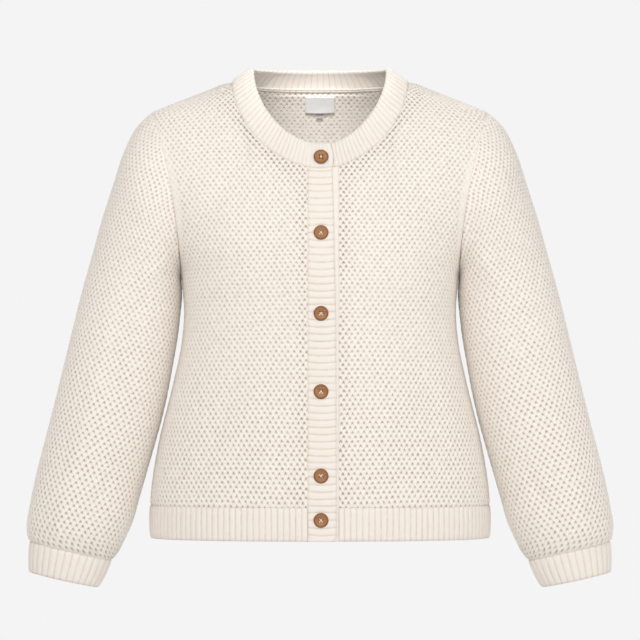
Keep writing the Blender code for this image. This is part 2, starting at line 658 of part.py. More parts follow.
def build_cloth(collection):
    """Cut every piece from the shared surfaces, give sewn edges one direction, then part them."""
    left = body_grid("front", UNDER_BAND_SEAM)
    right = mirrored(body_grid("front", -TOP_BAND_SEAM))
    back = body_grid("back", 0.0)
    sleeve = sleeve_rings(np.concatenate([SLEEVE, CUFF[1:]]))
    left_normals = grid_normals(left, away_from_middle)
    right_normals = grid_normals(right, away_from_middle)
    back_normals = grid_normals(back, away_from_middle)
    back_normals[:, 0, 0] = 0.0
    back_normals = unit(back_normals)
    sleeve_normals = grid_normals(sleeve, away_from_axis, ring=True)
    for front in (left_normals, right_normals):
        front[:, 0, 0] = 0.0
        front[...] = unit(front)
    right = lift(right, right_normals)

    # side and shoulder seams, then the armhole, where three pieces share the underarm and the tip
    underarm = HEM_ROWS + SIDE_ROWS
    tip = underarm + ARMHOLE_ROWS
    for front in (left_normals, right_normals):
        facing = np.array([np.sign(front[0, -1, 0]), 1.0, 1.0])
        shared = unit(front[:, -1] * facing + back_normals[:, -1])
        shared[:, 1] = 0.0
        rows = np.r_[0 : underarm + 1, tip : len(shared)]
        front[rows, -1] = unit(shared[rows]) * facing
    back_normals[rows, -1] = unit(shared[rows])
    ring = sleeve_normals[0].copy()
    for k in range(ARMHOLE_ROWS + 1):
        row = tip - k
        front_side = unit(left_normals[row, -1] + ring[k])
        back_side = unit(back_normals[row, -1] + ring[-k])
        if k in (0, ARMHOLE_ROWS):
            front_side = unit(front_side * np.array([1.0, 0.0, 1.0]))
            back_side = front_side
        left_normals[row, -1] = front_side
        right_normals[row, -1] = mirrored(front_side)
        back_normals[row, -1] = back_side
        sleeve_normals[0, k] = front_side
        sleeve_normals[0, -k] = back_side

    # neckband
    back_seam = np.concatenate([mirrored(back[-1, ::-1]), back[-1, 1:]])
    over, over_normals, under, under_normals = front_bands()
    band, band_normals = build_neckband(right[-1], left[-1], back_seam, over[-1], under[-1])
    neck = band_normals[0]
    meet(over_normals[-1], neck[BAND_COLUMNS::-1])
    meet(under_normals[-1], neck[: -BAND_COLUMNS - 2 : -1])
    place = BAND_COLUMNS
    right_part = neck[place : place + COLUMNS + 1]
    meet(right_part, right_normals[-1])
    place += COLUMNS
    back_part = neck[place : place + 2 * COLUMNS + 1]
    back_row = np.concatenate([mirrored(back_normals[-1, ::-1]), back_normals[-1, 1:]])
    back_row[0], back_row[-1] = right_normals[-1, -1], left_normals[-1, -1]
    meet(back_part, back_row)
    place += 2 * COLUMNS
    left_part = neck[place : place + COLUMNS + 1]
    meet(left_part[::-1], left_normals[-1])
    corner = unit(left_normals[-1, -1] + mirrored(right_normals[-1, -1]))
    left_normals[-1, -1] = corner
    right_normals[-1, -1] = mirrored(corner)
    back_normals[-1] = back_row[COLUMNS:]
    back_normals[-1, -1] = corner
    neck[BAND_COLUMNS + COLUMNS] = mirrored(corner)
    neck[place] = corner

    build_tape(collection, band, band_normals)
    inset(band, "first_row")
    wall("neckband", collection, band, band_normals, RIB, ECRU_RIB)
    inset(over, "first_column")
    inset(over, "last_row")
    wall("buttonhole_band", collection, over, over_normals, RIB, ECRU_RIB)
    inset(under, "last_column")
    inset(under, "last_row")
    wall("button_band", collection, under, under_normals, RIB, ECRU_RIB)

    # panels and hem ribs
    for name, grid, normals, seam_edges in (
        ("front_left", left, left_normals, ("first_column", "last_column")),
        ("front_right", right, right_normals, ("first_column", "last_column")),
        ("back", back, back_normals, ("last_column",)),
    ):
        for edge in seam_edges:
            inset(grid, edge)
        panel, panel_normals = grid[HEM_ROWS:].copy(), normals[HEM_ROWS:]
        rib, rib_normals = grid[: HEM_ROWS + 1].copy(), normals[: HEM_ROWS + 1]
        inset(panel, "first_row")
        inset(panel, "last_row")
        inset(rib, "last_row")
        half = name == "back"
        cloth = wall(name, collection, panel, panel_normals, KNIT, ECRU_KNIT, open_start=half)
        hem_name = f"hem_rib_{name}"
        border = wall(hem_name, collection, rib, rib_normals, RIB, ECRU_RIB, open_start=half)
        if half:
            mirror(cloth)
            mirror(border)

    # sleeves and cuffs
    seam_ring = len(SLEEVE) - 1
    tube, tube_normals = sleeve[: seam_ring + 1].copy(), sleeve_normals[: seam_ring + 1]
    cuff, cuff_normals = sleeve[seam_ring:].copy(), sleeve_normals[seam_ring:]
    inset_ring(tube, first=True, gap=SEAM)
    inset_ring(tube, first=False)
    inset_ring(cuff, first=True)
    for side, turn in (("left", lambda grid: grid), ("right", mirrored)):
        name = f"sleeve_{side}"
        wall(name, collection, turn(tube), turn(tube_normals), KNIT, ECRU_KNIT, ring=True)
        name = f"cuff_{side}"
        wall(name, collection, turn(cuff), turn(cuff_normals), RIB, ECRU_RIB, ring=True)


def main():
    clear_scene()
    collection = new_collection("button_cardigan")
    cutters = new_collection("cutters")
    build_cloth(collection)
    build_labels(collection)
    build_buttons(collection, cutters)


main()
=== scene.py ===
"""Looks of the button cardigan: raised-stitch cotton panels, ribbed borders and wooden buttons."""

import math

import bmesh
import bpy
import numpy as np
from mathutils import Matrix, Vector


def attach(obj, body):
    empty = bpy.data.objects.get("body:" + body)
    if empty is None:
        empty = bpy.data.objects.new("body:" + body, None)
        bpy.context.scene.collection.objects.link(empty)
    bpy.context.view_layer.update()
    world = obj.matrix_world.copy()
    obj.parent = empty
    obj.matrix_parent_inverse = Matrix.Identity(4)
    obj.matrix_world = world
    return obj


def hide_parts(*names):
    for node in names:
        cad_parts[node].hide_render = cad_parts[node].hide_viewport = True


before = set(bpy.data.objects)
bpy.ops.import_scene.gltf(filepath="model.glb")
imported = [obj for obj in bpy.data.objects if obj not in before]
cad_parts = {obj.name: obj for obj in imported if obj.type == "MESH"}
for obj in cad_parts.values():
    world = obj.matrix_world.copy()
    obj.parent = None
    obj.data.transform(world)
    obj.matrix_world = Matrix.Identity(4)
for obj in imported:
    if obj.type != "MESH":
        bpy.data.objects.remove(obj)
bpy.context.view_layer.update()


# --- The body's form ----------------------------------------------------------------------------
# Front, back and hem lie on one hollow form, read from level sections.  A panel is a wall of cotton
# knit about 3 mm thick, cut to the neckline, the shoulder seam, the armhole and the side seam.
KNIT = 0.0030
RIB = 0.0026
LAYER = 0.0029
HEM = -0.562
RIB_TOP = -0.522
UNDERARM = (0.1665, -0.245)
TIP = (0.2010, -0.0516)
NECK_POINT = (0.1056, -0.0154)
SQUARENESS = 2.3


def table(columns, rows):
    """A short table with a name for each column."""
    return np.array(rows, dtype=[(column, float) for column in columns.split()])


BODY = table(
    "height half_width front back",
    [
        (HEM, 0.2030, 0.1200, 0.1120),
        (RIB_TOP, 0.2030, 0.1195, 0.1115),
        (-0.4550, 0.1940, 0.1160, 0.1060),
        (-0.3780, 0.1755, 0.1130, 0.1000),
        (-0.3300, 0.1655, 0.1130, 0.0980),
        (-0.2920, 0.1622, 0.1140, 0.0990),
        (-0.2450, 0.1665, 0.1155, 0.1030),
        (-0.2000, 0.1700, 0.1110, 0.1060),
        (-0.1500, 0.1765, 0.0990, 0.1040),
        (-0.1000, 0.1860, 0.0800, 0.0950),
        (-0.0500, 0.2000, 0.0580, 0.0750),
        (0.0000, 0.2000, 0.0300, 0.0500),
    ],
)
ARMHOLE_DEPTH = 0.064
ARMHOLE_BOW = 0.007
NECK_BOTTOM = {"front": -0.1225, "back": -0.0250}
NECK_ROUND = {"front": 1.8, "back": 2.0}
SECTION_STEPS = 97
ROW_BEND = 6
COLUMN_BEND = 8
REACH_LEVELS = 361
REACH_BLUR = 18
NECK_STEPS = 400


def smooth_read(places, values, at):
    """A smooth curve through one column of a table, read at the places asked for."""
    slopes = np.gradient(values, places, axis=0)
    k = np.clip(np.searchsorted(places, at) - 1, 0, len(places) - 2)
    shape = (-1,) + (1,) * (values.ndim - 1)
    span = (places[k + 1] - places[k]).reshape(shape)
    t = (at - places[k]).reshape(shape) / span
    rise = (2 * t**3 - 3 * t**2 + 1) * values[k] + (3 * t**2 - 2 * t**3) * values[k + 1]
    return rise + span * ((t**3 - 2 * t**2 + t) * slopes[k] + (t**3 - t**2) * slopes[k + 1])


def row_read(rows, values, at):
    """Read each row of values where that row's own scale reaches its place in at."""
    index = np.arange(len(at))
    k = np.clip((rows < at[:, None]).sum(axis=1), 1, rows.shape[1] - 1)
    before, after = rows[index, k - 1], rows[index, k]
    share = np.clip((at - before) / np.maximum(after - before, 1e-12), 0.0, 1.0)
    return values[index, k - 1] * (1 - share) + values[index, k] * share


def side_edge(heights):
    """Where a level section ends: half width and depth on the side seam, armhole or shoulder."""
    middle, half = (TIP[1] + UNDERARM[1]) / 2, (TIP[1] - UNDERARM[1]) / 2
    up = np.clip((heights - middle) / half, -1.0, 1.0)
    turned = np.sqrt(1 - up**2)
    armhole_x = (TIP[0] + UNDERARM[0]) / 2 + up * (TIP[0] - UNDERARM[0]) / 2
    armhole_x = armhole_x - ARMHOLE_BOW * turned**2
    slope = (TIP[0] - NECK_POINT[0]) / (NECK_POINT[1] - TIP[1])
    below, above = heights <= UNDERARM[1], heights >= TIP[1]
    side_x = smooth_read(BODY["height"], BODY["half_width"], heights)
    x = np.where(below, side_x, armhole_x)
    x = np.where(above, TIP[0] - (heights - TIP[1]) * slope, x)
    return x, np.where(below | above, 0.0, ARMHOLE_DEPTH * turned)


def section(side, heights):
    """Arc length, x and depth along a quarter of the body at each height."""
    edge_x, edge_depth = side_edge(heights)
    depth = smooth_read(BODY["height"], BODY[side], heights)
    full = edge_x / (1 - (edge_depth / depth) ** SQUARENESS) ** (1 / SQUARENESS)
    last = np.arcsin(np.clip(edge_x / full, 0.0, 1.0) ** (SQUARENESS / 2))
    angle = last[:, None] * np.linspace(0.0, 1.0, SECTION_STEPS)
    x = full[:, None] * np.sin(angle) ** (2 / SQUARENESS)
    y = depth[:, None] * np.maximum(np.cos(angle), 0.0) ** (2 / SQUARENESS)
    steps = np.hypot(np.diff(x, axis=1), np.diff(y, axis=1))
    arc = np.concatenate([np.zeros((len(heights), 1)), np.cumsum(steps, axis=1)], axis=1)
    return arc, x, y


def steady_reach(side, heights):
    """How far a section reaches round the body, smoothed over both ends of the armhole."""
    levels = np.linspace(HEM, NECK_POINT[1], REACH_LEVELS)
    ends = section(side, levels)[0][:, -1]
    padded = np.pad(ends, REACH_BLUR, mode="reflect", reflect_type="odd")
    weights = np.hanning(2 * REACH_BLUR + 3)[1:-1]
    return np.interp(heights, levels, np.convolve(padded, weights / weights.sum(), mode="valid"))


def spread(side, heights, arc, start, shares):
    """Where the columns of a panel cross a section: steady inside, and on its end at share 1."""
    steady = steady_reach(side, heights)
    return start + (steady - start) * shares + (arc[:, -1] - steady) * shares**COLUMN_BEND


def body_points(side, heights, shares, start_x):
    """Points on the body and how far each lies along its section from the middle."""
    arc, x, y = section(side, heights)
    start = row_read(x, arc, np.broadcast_to(np.abs(start_x), heights.shape).astype(float))
    place = spread(side, heights, arc, start, shares)
    facing = -1.0 if side == "front" else 1.0
    points = [row_read(arc, x, place), facing * row_read(arc, y, place), heights]
    return np.stack(points, axis=1), place


def neck_height(side, x):
    """Height of the neckline's seam over x."""
    power = NECK_ROUND[side]
    rise = (1 - np.clip(np.abs(x) / NECK_POINT[0], 0.0, 1.0) ** power) ** (1 / power)
    return NECK_POINT[1] - (NECK_POINT[1] - NECK_BOTTOM[side]) * rise


def neck_heights(side, start_x, columns):
    """Height of the neckline's seam at each column of a panel."""
    turn = np.linspace(0.0, math.pi / 2, NECK_STEPS)
    x = np.maximum(NECK_POINT[0] * np.sin(turn) ** (2 / NECK_ROUND[side]), start_x)
    heights = neck_height(side, x)
    arc, across, _ = section(side, heights)
    start = row_read(across, arc, np.full(len(heights), start_x))
    trial = np.linspace(0.0, 1.0, REACH_LEVELS)
    places = np.stack([spread(side, heights, arc, start, share) for share in trial], axis=1)
    share = row_read(places, np.broadcast_to(trial, places.shape), row_read(across, arc, x))
    order = np.argsort(share)
    return np.interp(np.linspace(0.0, 1.0, columns + 1), share[order], heights[order])


def body_grid(side, start_x, edge, columns, inside=None):
    """One half of the front or back between two levels: rows up, columns outwards.

    Rows meet the outer edge at the heights in edge, and may lie at other heights inside.
    """
    neck = neck_heights(side, start_x, columns)
    inside = edge if inside is None else inside
    shares = np.broadcast_to(np.linspace(0.0, 1.0, columns + 1), (len(edge), columns + 1))
    levels = inside[:, None] + (edge - inside)[:, None] * shares**ROW_BEND
    reach = np.clip((levels - UNDERARM[1]) / (NECK_POINT[1] - UNDERARM[1]), 0.0, 1.0)
    heights = levels + reach * (neck - NECK_POINT[1])[None, :]
    points, across = body_points(side, heights.ravel(), shares.ravel(), start_x)
    return points.reshape(*heights.shape, 3), across.reshape(heights.shape)


def unit(vectors):
    return vectors / np.maximum(np.linalg.norm(vectors, axis=-1, keepdims=True), 1e-12)


def away_from_middle(grid):
    """Roughly outwards on the body: away from its middle line, and up a little."""
    return grid * np.array([1.0, 1.6, 0.0]) + np.array([0.0, 0.0, 0.02])


def grid_normals(grid, outwards=away_from_middle, ring=False):
    """Normals of a grid of points, turned to the side that outwards(points) points to."""
    rows = np.gradient(grid, axis=0)
    columns = np.gradient(grid, axis=1)
    if ring:
        columns[:, 0] = columns[:, -1] = grid[:, 1] - grid[:, -2]
    normals = unit(np.cross(columns, rows))
    flip = np.sum(normals * outwards(grid), axis=-1, keepdims=True) < 0
    return np.where(flip, -normals, normals)


def climb(grid, normals):
    """Length up the cloth from the first row, along lines that keep square to the sections."""
    slope = np.sqrt(np.maximum(1 - normals[..., 2] ** 2, 0.03))
    steps = np.abs(np.diff(grid[..., 2], axis=0)) / (slope[1:] + slope[:-1]) * 2
    return np.concatenate([np.zeros((1, grid.shape[1])), np.cumsum(steps, axis=0)])


FOLDS = table(  # a soft trough or ridge: its middle, the way it runs, its size and its face
    "x z turn reach width depth face",
    [
        (-0.060, -0.470, 78.0, 0.075, 0.0130, 0.0022, -1.0),
        (0.078, -0.455, 100.0, 0.090, 0.0160, 0.0026, -1.0),
        (-0.118, -0.420, 70.0, 0.090, 0.0170, -0.0024, -1.0),
        (0.128, -0.400, 108.0, 0.080, 0.0150, -0.0022, -1.0),
        (-0.125, -0.262, 28.0, 0.055, 0.0100, 0.0024, -1.0),
        (0.122, -0.270, 150.0, 0.060, 0.0110, 0.0022, -1.0),
        (-0.128, -0.170, 62.0, 0.055, 0.0130, -0.0020, -1.0),
        (0.132, -0.165, 116.0, 0.050, 0.0120, -0.0018, -1.0),
        (0.030, -0.500, 30.0, 0.016, 0.0050, 0.0014, -1.0),
        (-0.024, -0.505, 150.0, 0.014, 0.0045, 0.0012, -1.0),
        (-0.070, -0.440, 80.0, 0.100, 0.0200, 0.0030, 1.0),
        (0.050, -0.400, 97.0, 0.120, 0.0220, -0.0028, 1.0),
        (0.120, -0.280, 145.0, 0.060, 0.0130, 0.0026, 1.0),
        (-0.118, -0.275, 38.0, 0.055, 0.0120, 0.0024, 1.0),
        (0.000, -0.150, 90.0, 0.080, 0.0300, -0.0020, 1.0),
        (0.232, -0.300, 104.0, 0.080, 0.0110, -0.0026, -1.0),
        (-0.236, -0.320, 74.0, 0.070, 0.0120, -0.0026, -1.0),
        (0.285, -0.430, 112.0, 0.075, 0.0120, 0.0024, -1.0),
        (-0.282, -0.440, 72.0, 0.070, 0.0110, 0.0024, -1.0),
        (0.262, -0.510, 118.0, 0.040, 0.0080, -0.0022, -1.0),
        (-0.266, -0.515, 60.0, 0.038, 0.0080, -0.0022, -1.0),
        (0.312, -0.535, 104.0, 0.030, 0.0070, 0.0020, -1.0),
        (-0.308, -0.538, 75.0, 0.032, 0.0070, 0.0020, -1.0),
        (0.205, -0.245, 128.0, 0.040, 0.0090, 0.0020, -1.0),
        (-0.203, -0.250, 50.0, 0.038, 0.0085, 0.0020, -1.0),
        (0.245, -0.340, 106.0, 0.090, 0.0130, 0.0028, 1.0),
        (-0.250, -0.360, 72.0, 0.090, 0.0140, -0.0028, 1.0),
        (0.290, -0.480, 112.0, 0.060, 0.0110, -0.0026, 1.0),
        (-0.286, -0.500, 68.0, 0.050, 0.0100, 0.0024, 1.0),
    ],
)
FACE_SHARE = 1.4


def drape(grid, normals):
    """Move the cloth in or out along the folds of the face it belongs to."""
    moved = np.zeros(grid.shape[:-1])
    for fold in FOLDS:
        turn = math.radians(fold["turn"])
        dx, dz = grid[..., 0] - fold["x"], grid[..., 2] - fold["z"]
        along = (dx * math.cos(turn) + dz * math.sin(turn)) / fold["reach"]
        across = (dz * math.cos(turn) - dx * math.sin(turn)) / fold["width"]
        facing = np.clip(fold["face"] * normals[..., 1] * FACE_SHARE, 0.0, 1.0)
        moved += fold["depth"] * facing * np.exp(-(across**2) - along**2)
    return grid + normals * moved[..., None]


def wander(across, up):
    """Hand-guided yarn never runs quite true: shift the pattern a little, slowly over the cloth."""
    shift = 0.0006 * np.sin(47 * up + 13 * across) + 0.0004 * np.sin(91 * across - 37 * up)
    rise = 0.0005 * np.sin(39 * across + 17 * up) + 0.0003 * np.sin(83 * up + 29 * across)
    shift = shift + 0.0004 * np.sin(431 * up + 173 * across) * np.sin(57 * across - 71 * up)
    rise = rise + 0.0004 * np.sin(389 * across - 211 * up) * np.sin(67 * across + 43 * up)
    return across + shift, up + rise


def placed(name, data):
    """A new object in the scene."""
    thing = bpy.data.objects.new(name, data)
    bpy.context.scene.collection.objects.link(thing)
    return thing


def border_fade(rows, columns, steps=3, ring=False):
    """0 on a grid's border and 1 from a few steps inside it."""
    along_rows = np.minimum(np.arange(rows), np.arange(rows)[::-1])
    along_columns = np.minimum(np.arange(columns), np.arange(columns)[::-1])
    if ring:
        along_columns = np.full(columns, steps)
    nearest = np.minimum(along_rows[:, None], along_columns[None, :])
    return np.clip(nearest / steps, 0.0, 1.0)


def shell(name, outer, through, thickness, across, up, relief, plain=None, skip=1, ring=False):
    """A closed wall of cloth.  The inner face keeps one point in skip each way.

    The flat pattern is kept as a UV map in metres, and with the relief's strength as an attribute.
    """
    rows, columns = outer.shape[0] - 1, outer.shape[1] - 1
    wide = columns if ring else columns + 1
    dense = np.arange(rows + 1)[:, None] * wide + np.arange(columns + 1)[None, :] % wide
    kept_rows, kept_columns = np.arange(0, rows + 1, skip), np.arange(0, columns + 1, skip)
    inner = (outer - through * thickness)[np.ix_(kept_rows, kept_columns)]
    few = len(kept_columns) - (1 if ring else 0)
    start = (rows + 1) * wide
    sparse = np.arange(len(kept_rows))[:, None] * few + np.arange(len(kept_columns))[None, :] % few
    sparse = sparse + start
    place = np.arange((rows + 1) * (columns + 1)).reshape(rows + 1, columns + 1)
    kept_place = place[np.ix_(kept_rows, kept_columns)]

    def quads(index):
        corners = [index[:-1, :-1], index[:-1, 1:], index[1:, 1:], index[1:, :-1]]
        return np.stack(corners, axis=-1).reshape(-1, 4)

    faces = quads(dense).tolist() + quads(sparse)[:, ::-1].tolist()
    corners = quads(place).tolist() + quads(kept_place)[:, ::-1].tolist()
    bottom = [(0, c) for c in range(columns + 1)]
    top = [(rows, c) for c in range(columns, -1, -1)]
    if ring:
        loops = [bottom, top]
    else:
        right = [(r, columns) for r in range(1, rows)]
        left = [(r, 0) for r in range(rows - 1, -1, -1)]
        loops = [bottom + right + top + left]
    for loop in loops:
        for a, b in zip(loop[:-1], loop[1:]):
            near_a = ((a[0] + skip // 2) // skip, (a[1] + skip // 2) // skip)
            near_b = ((b[0] + skip // 2) // skip, (b[1] + skip // 2) // skip)
            face = [dense[b], dense[a], sparse[near_a]]
            corner = [place[b], place[a], kept_place[near_a]]
            if near_a != near_b:
                face.append(sparse[near_b])
                corner.append(kept_place[near_b])
            faces.append([int(k) for k in face])
            corners.append([int(k) for k in corner])
    ahead = np.cross(outer[1, 2] - outer[1, 1], outer[2, 1] - outer[1, 1])
    if np.dot(ahead, through[1, 1]) < 0:
        faces = [face[::-1] for face in faces]
        corners = [corner[::-1] for corner in corners]
    mesh = bpy.data.meshes.new(name)
    points = np.concatenate([outer[:, :wide].reshape(-1, 3), inner[:, :few].reshape(-1, 3)])
    mesh.from_pydata(points.tolist(), [], faces)
    flat = np.stack([across, up], axis=-1).reshape(-1, 2)
    uv = mesh.uv_layers.new(name="cloth")
    uv.data.foreach_set("uv", flat[np.concatenate(corners)].astype(np.float32).ravel())
    pattern = np.stack([across, up, np.broadcast_to(relief, across.shape)], axis=-1)
    flat_inner = pattern[np.ix_(kept_rows, kept_columns)] * np.array([1.0, 1.0, 0.0])
    values = np.concatenate([pattern[:, :wide].reshape(-1, 3), flat_inner[:, :few].reshape(-1, 3)])
    stored = mesh.attributes.new("pattern", "FLOAT_VECTOR", "POINT")
    stored.data.foreach_set("vector", values.astype(np.float32).ravel())
    plain = np.zeros(across.shape) if plain is None else np.broadcast_to(plain, across.shape)
    sparse_plain = plain[np.ix_(kept_rows, kept_columns)]
    values = np.concatenate([plain[:, :wide].ravel(), sparse_plain[:, :few].ravel()])
    stored = mesh.attributes.new("plain", "FLOAT", "POINT")
    stored.data.foreach_set("value", values.astype(np.float32))
    mesh.shade_smooth()
    return placed(name, mesh)


def add(tree, kind, *inputs, **settings):
    """A node with its settings, and its inputs in order, each a value or another node's output."""
    node = tree.nodes.new(kind)
    for name, value in settings.items():
        setattr(node, name, value)
    for socket, value in zip(node.inputs, inputs):
        if isinstance(value, bpy.types.NodeSocket):
            tree.links.new(value, socket)
        elif value is not None:
            socket.default_value = value
    return node


def calculate(tree, operation, *inputs):
    return add(tree, "ShaderNodeMath", *inputs, operation=operation).outputs[0]


def clamped(tree, value, scale, shift):
    """A value times scale plus shift, kept between 0 and 1."""
    settings = {"operation": "MULTIPLY_ADD", "use_clamp": True}
    return add(tree, "ShaderNodeMath", value, scale, shift, **settings).outputs[0]


def mix_colour(tree, share, first, second):
    """The first colour at share 0 and the second at share 1; each may be another node's output."""
    mix = add(tree, "ShaderNodeMix", share, data_type="RGBA")
    ends = [socket for socket in mix.inputs if socket.type == "RGBA"]
    for socket, colour in zip(ends, (first, second)):
        if isinstance(colour, bpy.types.NodeSocket):
            tree.links.new(colour, socket)
        else:
            socket.default_value = colour
    return next(socket for socket in mix.outputs if socket.type == "RGBA")


def stitch_valley(tree, across, up, given, sharpness):
    """0 on top of each staggered stitch and 1 in the low arched hole between four of them."""
    turn = calculate(tree, "MULTIPLY", across, 2 * math.pi)
    turn = calculate(tree, "DIVIDE", turn, given["Stitch width"])
    arch = calculate(tree, "COSINE", calculate(tree, "MULTIPLY", turn, 2.0))
    rise = calculate(tree, "MULTIPLY", up, math.pi)
    rise = calculate(tree, "DIVIDE", rise, given["Course height"])
    rise = calculate(tree, "MULTIPLY_ADD", arch, -HOLE_ARCH, rise)
    course = calculate(tree, "COSINE", rise)
    wave = calculate(tree, "MULTIPLY", calculate(tree, "COSINE", turn), course)
    half = calculate(tree, "MULTIPLY_ADD", wave, -0.5, 0.5)
    flat = calculate(tree, "POWER", calculate(tree, "ABSOLUTE", course), HOLE_FLATNESS)
    return calculate(tree, "MULTIPLY", calculate(tree, "POWER", half, sharpness), flat)


def rib_valley(tree, across, _, given, sharpness):
    """0 on top of each rounded rib and 1 in the groove between two."""
    turn = calculate(tree, "MULTIPLY", across, math.pi)
    turn = calculate(tree, "DIVIDE", turn, given["Rib width"])
    crown = calculate(tree, "ABSOLUTE", calculate(tree, "SINE", turn))
    return calculate(tree, "POWER", calculate(tree, "SUBTRACT", 1.0, crown), sharpness)


def relief_tree(name, sizes, valley, sharpness):
    """A tree that raises the cloth along its normal, from the flat pattern kept on its points."""
    tree = bpy.data.node_groups.new(name, "GeometryNodeTree")
    tree.interface.new_socket("Cloth", in_out="INPUT", socket_type="NodeSocketGeometry")
    for label in (*sizes, "Relief"):
        tree.interface.new_socket(label, in_out="INPUT", socket_type="NodeSocketFloat")
    tree.interface.new_socket("Yarn", in_out="INPUT", socket_type="NodeSocketMaterial")
    tree.interface.new_socket("Cloth", in_out="OUTPUT", socket_type="NodeSocketGeometry")
    given = tree.nodes.new("NodeGroupInput").outputs
    pattern = add(tree, "GeometryNodeInputNamedAttribute", "pattern", data_type="FLOAT_VECTOR")
    across, up, strength = add(tree, "ShaderNodeSeparateXYZ", pattern.outputs[0]).outputs
    low = valley(tree, across, up, given, sharpness)
    patch = add(tree, "ShaderNodeTexNoise", pattern.outputs[0])
    patch.inputs["Scale"].default_value = PATCH_SCALE
    uneven = calculate(tree, "MULTIPLY_ADD", patch.outputs[0], *RELIEF_VARIES)
    low = calculate(tree, "MULTIPLY", low, uneven)
    height = calculate(tree, "MULTIPLY_ADD", low, -1.0, CROWN)
    height = calculate(tree, "MULTIPLY", height, given["Relief"])
    height = calculate(tree, "MULTIPLY", height, strength)
    normal = add(tree, "GeometryNodeInputNormal").outputs[0]
    offset = add(tree, "ShaderNodeVectorMath", normal, None, None, height, operation="SCALE")
    moved = add(tree, "GeometryNodeSetPosition", given["Cloth"], None, None, offset.outputs[0])
    real = add(tree, "GeometryNodeRealizeInstances", moved.outputs[0])
    dressed = add(tree, "GeometryNodeSetMaterial", real.outputs[0], None, given["Yarn"])
    add(tree, "NodeGroupOutput", dressed.outputs[0])
    return tree


def knit(piece, tree, values):
    """Raise the stitches on a piece with a relief tree, and keep the result as a plain mesh."""
    modifier = piece.modifiers.new("Relief", "NODES")
    modifier.node_group = tree
    for item in tree.interface.items_tree:
        if item.in_out == "INPUT" and item.name in values:
            modifier[item.identifier] = values[item.name]
    bpy.context.view_layer.update()
    graph = bpy.context.evaluated_depsgraph_get()
    finished = bpy.data.meshes.new_from_object(piece.evaluated_get(graph))
    piece.modifiers.clear()
    piece.data = finished
    finished.shade_smooth()


# --- Yarn and its two stitches ------------------------------------------------------------------
# One ecru cotton yarn throughout, matt and slightly hairy.  The panels are in a raised stitch whose
# bumps stand in staggered courses, and every border is a wide close rib.
STITCH_WIDTH = 0.0069
COURSE_HEIGHT = 0.0050
STITCH_RELIEF = 0.0018
STITCH_SHARPNESS = 1.5
HOLE_ARCH = 0.55
HOLE_FLATNESS = 1.6
PATCH_SCALE = 160.0
RIB_WIDTH = 0.0072
RIB_RELIEF = 0.0013
RIB_SHARPNESS = 2.4
YARN = (0.905, 0.848, 0.782, 1.0)
# Painted shade: the colour in the holes between the stitches.
YARN_SHADE = (0.55, 0.425, 0.315, 1.0)
# The same ecru yarn painted a little darker: painted shade among the close ribs.
RIB_YARN_PAINTED_SHADE = (0.858, 0.797, 0.733, 1.0)
# Painted shade: the colour in the grooves between the ribs.
RIB_GROOVE_PAINTED_SHADE = (0.74, 0.60, 0.47, 1.0)
PLY = 0.0012
PLY_RELIEF = 0.00013
HOLE_RELIEF = 0.0006
GROOVE_RELIEF = 0.0003
STITCH_SHADE_SHARPNESS = 2.4
RIB_SHADE_SHARPNESS = 4.0
CROWN = 0.65
RELIEF_VARIES = (0.9, 0.55)
SHADE_VARIES = (1.3, 0.25)
SHADE_ALL_OVER = (0.12, -0.05)
FUZZ_SCALE = 2600.0
PLY_LEAN = 0.75
STITCH = {"Stitch width": STITCH_WIDTH, "Course height": COURSE_HEIGHT}
RIBS = {"Rib width": RIB_WIDTH}


def yarn_group(name, sizes, valley, sharpness):
    """A shader group: where the pattern is low, how the plies lie, and how the colour varies."""
    group = bpy.data.node_groups.new(name, "ShaderNodeTree")
    for label in sizes:
        group.interface.new_socket(label, in_out="INPUT", socket_type="NodeSocketFloat")
    for label in ("Low", "Plies", "Mottle"):
        group.interface.new_socket(label, in_out="OUTPUT", socket_type="NodeSocketFloat")
    given = group.nodes.new("NodeGroupInput").outputs
    flat = add(group, "ShaderNodeUVMap", uv_map="cloth").outputs[0]
    across, up, _ = add(group, "ShaderNodeSeparateXYZ", flat).outputs
    low = valley(group, across, up, given, sharpness)
    lean = calculate(group, "MULTIPLY_ADD", across, PLY_LEAN, up)
    plies = calculate(group, "SINE", calculate(group, "MULTIPLY", lean, 2 * math.pi / PLY))
    place = add(group, "ShaderNodeTexCoord").outputs["Object"]
    fuzz = add(group, "ShaderNodeTexNoise", place)
    fuzz.inputs["Scale"].default_value = FUZZ_SCALE
    plies = calculate(group, "MULTIPLY_ADD", plies, 0.5, fuzz.outputs[0])
    patch = add(group, "ShaderNodeTexNoise", place)
    patch.inputs["Scale"].default_value = PATCH_SCALE
    add(group, "NodeGroupOutput", low, plies, patch.outputs[0])
    return group


stitch_relief = relief_tree("Raised stitch", STITCH, stitch_valley, STITCH_SHARPNESS)
rib_relief = relief_tree("Rib", RIBS, rib_valley, RIB_SHARPNESS)
stitch_yarn = yarn_group("Stitch yarn", STITCH, stitch_valley, STITCH_SHADE_SHARPNESS)
rib_yarn = yarn_group("Rib yarn", RIBS, rib_valley, RIB_SHADE_SHARPNESS)


def new_material(name, **values):
    """A material with its node tree and its shader, whose inputs are set to the values."""
    material = bpy.data.materials.new(name)
    material.use_nodes = True
    shader = material.node_tree.nodes["Principled BSDF"]
    for label, value in values.items():
        shader.inputs[label.replace("_", " ")].default_value = value
    return material, material.node_tree, shader


def roughen(tree, shader, height, depth):
    """Relief that is too fine to model."""
    lumps = tree.nodes.new("ShaderNodeBump")
    lumps.inputs["Distance"].default_value = depth
    tree.links.new(height, lumps.inputs["Height"])
    tree.links.new(lumps.outputs[0], shader.inputs["Normal"])


